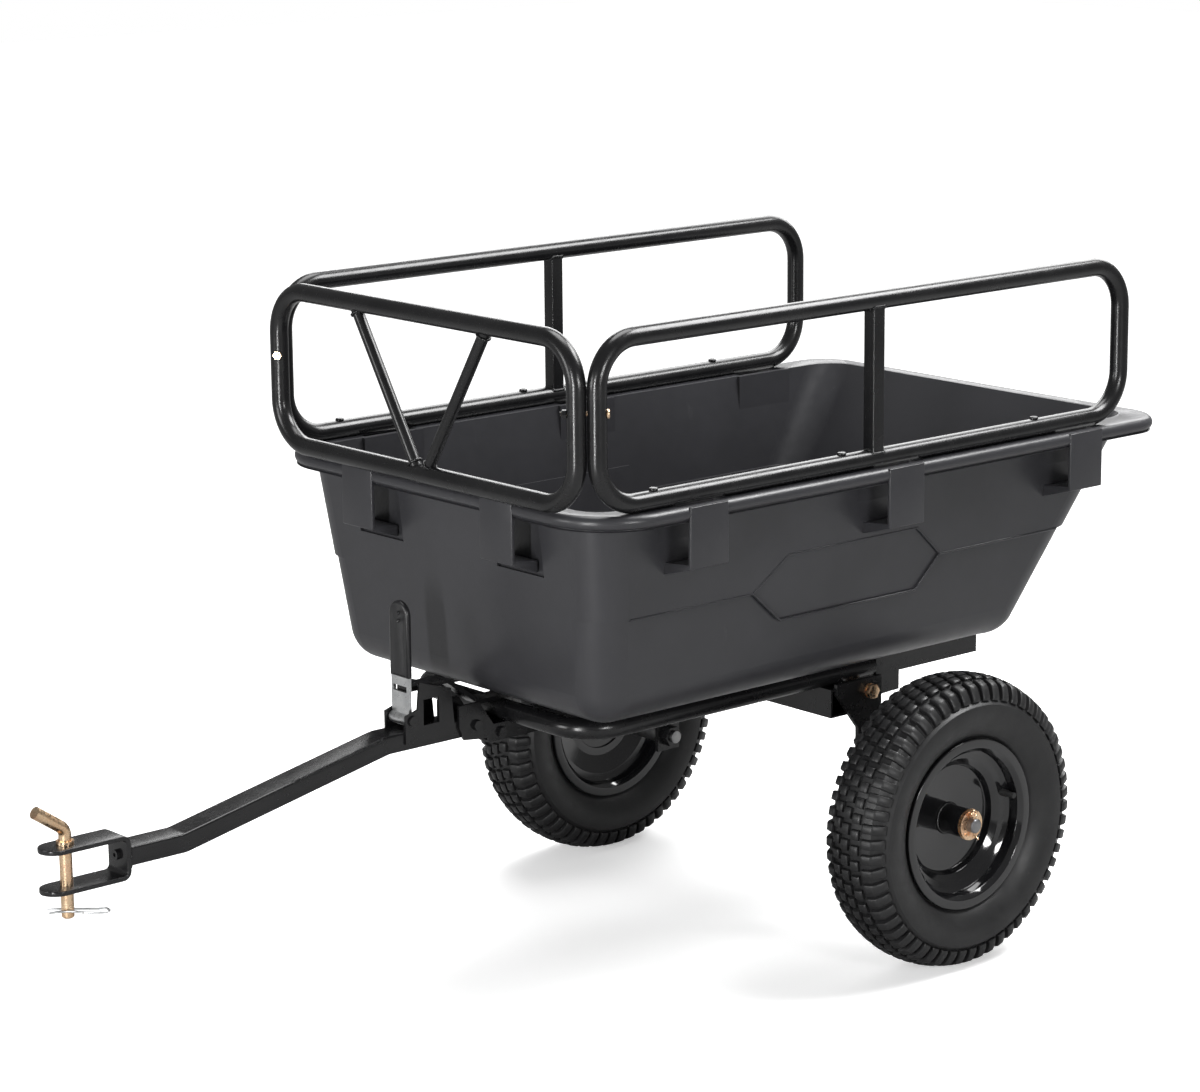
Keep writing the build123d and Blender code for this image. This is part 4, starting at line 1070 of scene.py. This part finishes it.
# ---- latch lever's grip -------------------------------------------------------------------
def make_grip():
    """The dipped grip: a flat stadium with fat rounded edges, dished faces and two small pips."""
    half, mid_x, low, top = 19.3, 652.5, 449.0, 531.5
    sections = ((-3.0, 6.2), (-4.2, 4.6), (-4.3, 3.2), (-3.6, 1.2), (-2.0, 0.1),
                (2.0, 0.1), (3.6, 1.2), (4.3, 3.2), (4.2, 4.6), (3.0, 6.2))
    rings = []
    for out, inset in sections:
        r = half - inset
        outline = [(-r, low + inset * 0.4), (r, low + inset * 0.4)]
        outline += [(r * cos(radians(a)), top + r * sin(radians(a))) for a in range(0, 181, 10)]
        rings.append([mm(mid_x + out, y, z) for y, z in outline])
    pip = turned(softened([(0.02, 5.2), (1.4, 5.0), (2.6, 3.6), (2.6, 1.5), (0.02, 1.5)], 0.4, 3),
                 Vector((0, 0, 0)), 24)
    lay = Matrix.Rotation(radians(-90), 4, "Z")
    body = shade(swept("grip", rings), 50)
    dots = [moved(pip, Matrix.Translation(mm(mid_x, 0, z)) @ lay) for z in (534, 524)]
    place_piece(joined(body, *dots), "dipped_grip", "lever", "grip_vinyl", "lever_grip")


make_grip()


# ---- hairpin clip -------------------------------------------------------------------------
def make_clip():
    """Bent wire through the pin's cross hole: one straight leg, a loop and a waved leg."""
    turn = Matrix.Rotation(radians(139), 4, "Z")
    pin_x, z = 1174, 247.5
    flat = [(-30, 0), (38, 0)]
    flat += arc3((38, 0), (52, -7), (45, -15), 16)[1:]
    flat += [(30, -15.5), (20, -14.5), (13, -11.5), (7, -10), (0, -9.9), (-7, -10.6), (-13, -13),
             (-20, -17)]
    points = [mm(pin_x, 0, z) + turn @ (Vector((x, y, 0)) / 1000) for x, y in flat]
    mesh = tube(points, 1.5, sides=14)
    place_piece(mesh, "hairpin", "clip", "clear_zinc", "hairpin_clip")


make_clip()


# ---- studio -------------------------------------------------------------------------------
def add_floor():
    mesh = bpy.data.meshes.new("floor")
    s = 14.0
    mesh.from_pydata([(-s, -s, 0), (s, -s, 0), (s, s, 0), (-s, s, 0)], [], [(0, 1, 2, 3)])
    mesh.materials.append(studio_floor())
    floor = bpy.data.objects.new("floor", mesh)
    bpy.context.scene.collection.objects.link(floor)


def soft_light(name, place, target, width, height, power):
    light = bpy.data.lights.new(name, "AREA")
    light.shape = "RECTANGLE"
    light.size = width
    light.size_y = height
    light.energy = power
    obj = bpy.data.objects.new(name, light)
    bpy.context.scene.collection.objects.link(obj)
    obj.location = place
    aim = Vector(target) - Vector(place)
    obj.rotation_euler = aim.to_track_quat("-Z", "Y").to_euler()


def sky_light(name, way, strength, spread):
    light = bpy.data.lights.new(name, "SUN")
    light.energy = strength
    light.angle = radians(spread)
    obj = bpy.data.objects.new(name, light)
    bpy.context.scene.collection.objects.link(obj)
    obj.rotation_euler = Vector(way).to_track_quat("-Z", "Y").to_euler()


def add_world():
    world = bpy.data.worlds.new("studio")
    bpy.context.scene.world = world
    world.use_nodes = True
    tree = world.node_tree
    back = tree.nodes["Background"]
    back.inputs[0].default_value = (1.0, 1.0, 1.0, 1.0)
    seen = tree.nodes.new("ShaderNodeLightPath")
    level = tree.nodes.new("ShaderNodeMapRange")
    tree.links.new(seen.outputs["Is Camera Ray"], level.inputs["Value"])
    level.inputs["To Min"].default_value = 0.20
    level.inputs["To Max"].default_value = 1.0
    tree.links.new(level.outputs[0], back.inputs[1])


CAMERA_PLACE = (3.0381, 3.6056, 1.6381)
CAMERA_YAW, CAMERA_PITCH, CAMERA_ROLL = 4.0005, -0.2206, -0.0090
LENS_MM = 107.71


def add_camera():
    ahead = Vector((cos(CAMERA_PITCH) * cos(CAMERA_YAW), cos(CAMERA_PITCH) * sin(CAMERA_YAW),
                    sin(CAMERA_PITCH)))
    level = Vector((sin(CAMERA_YAW), -cos(CAMERA_YAW), 0))
    up = level.cross(ahead)
    c, s = cos(CAMERA_ROLL), sin(CAMERA_ROLL)
    right = level * c + up * s
    top = up * c - level * s
    camera = bpy.data.cameras.new("camera")
    camera.sensor_width = 36.0
    camera.lens = LENS_MM
    obj = bpy.data.objects.new("camera", camera)
    turn = Matrix((right, top, -ahead)).transposed().to_4x4()
    obj.matrix_world = Matrix.Translation(CAMERA_PLACE) @ turn
    bpy.context.scene.collection.objects.link(obj)
    bpy.context.scene.camera = obj


add_floor()
add_world()
sky_light("overhead", (0.25, 0.20, -1.0), 2.2, 40)
soft_light("back_top", (-2.2, -1.6, 2.0), (0, 0, 0.7), 3.0, 1.4, 60)
soft_light("roll_light", (-1.7, 0.9, 2.8), (0, 0, 0.6), 1.6, 1.2, 95)
soft_light("side_fill", (0.4, 3.6, 1.3), (0, 0, 0.5), 0.8, 0.5, 38)
soft_light("front_fill", (3.4, -0.8, 1.1), (0.2, 0, 0.5), 1.2, 1.0, 26)
soft_light("corner_strip", (2.6, 1.15, 0.7), (0.2, 0.3, 0.55), 0.12, 1.3, 44)
add_camera()
bpy.context.scene.view_settings.view_transform = "Standard"
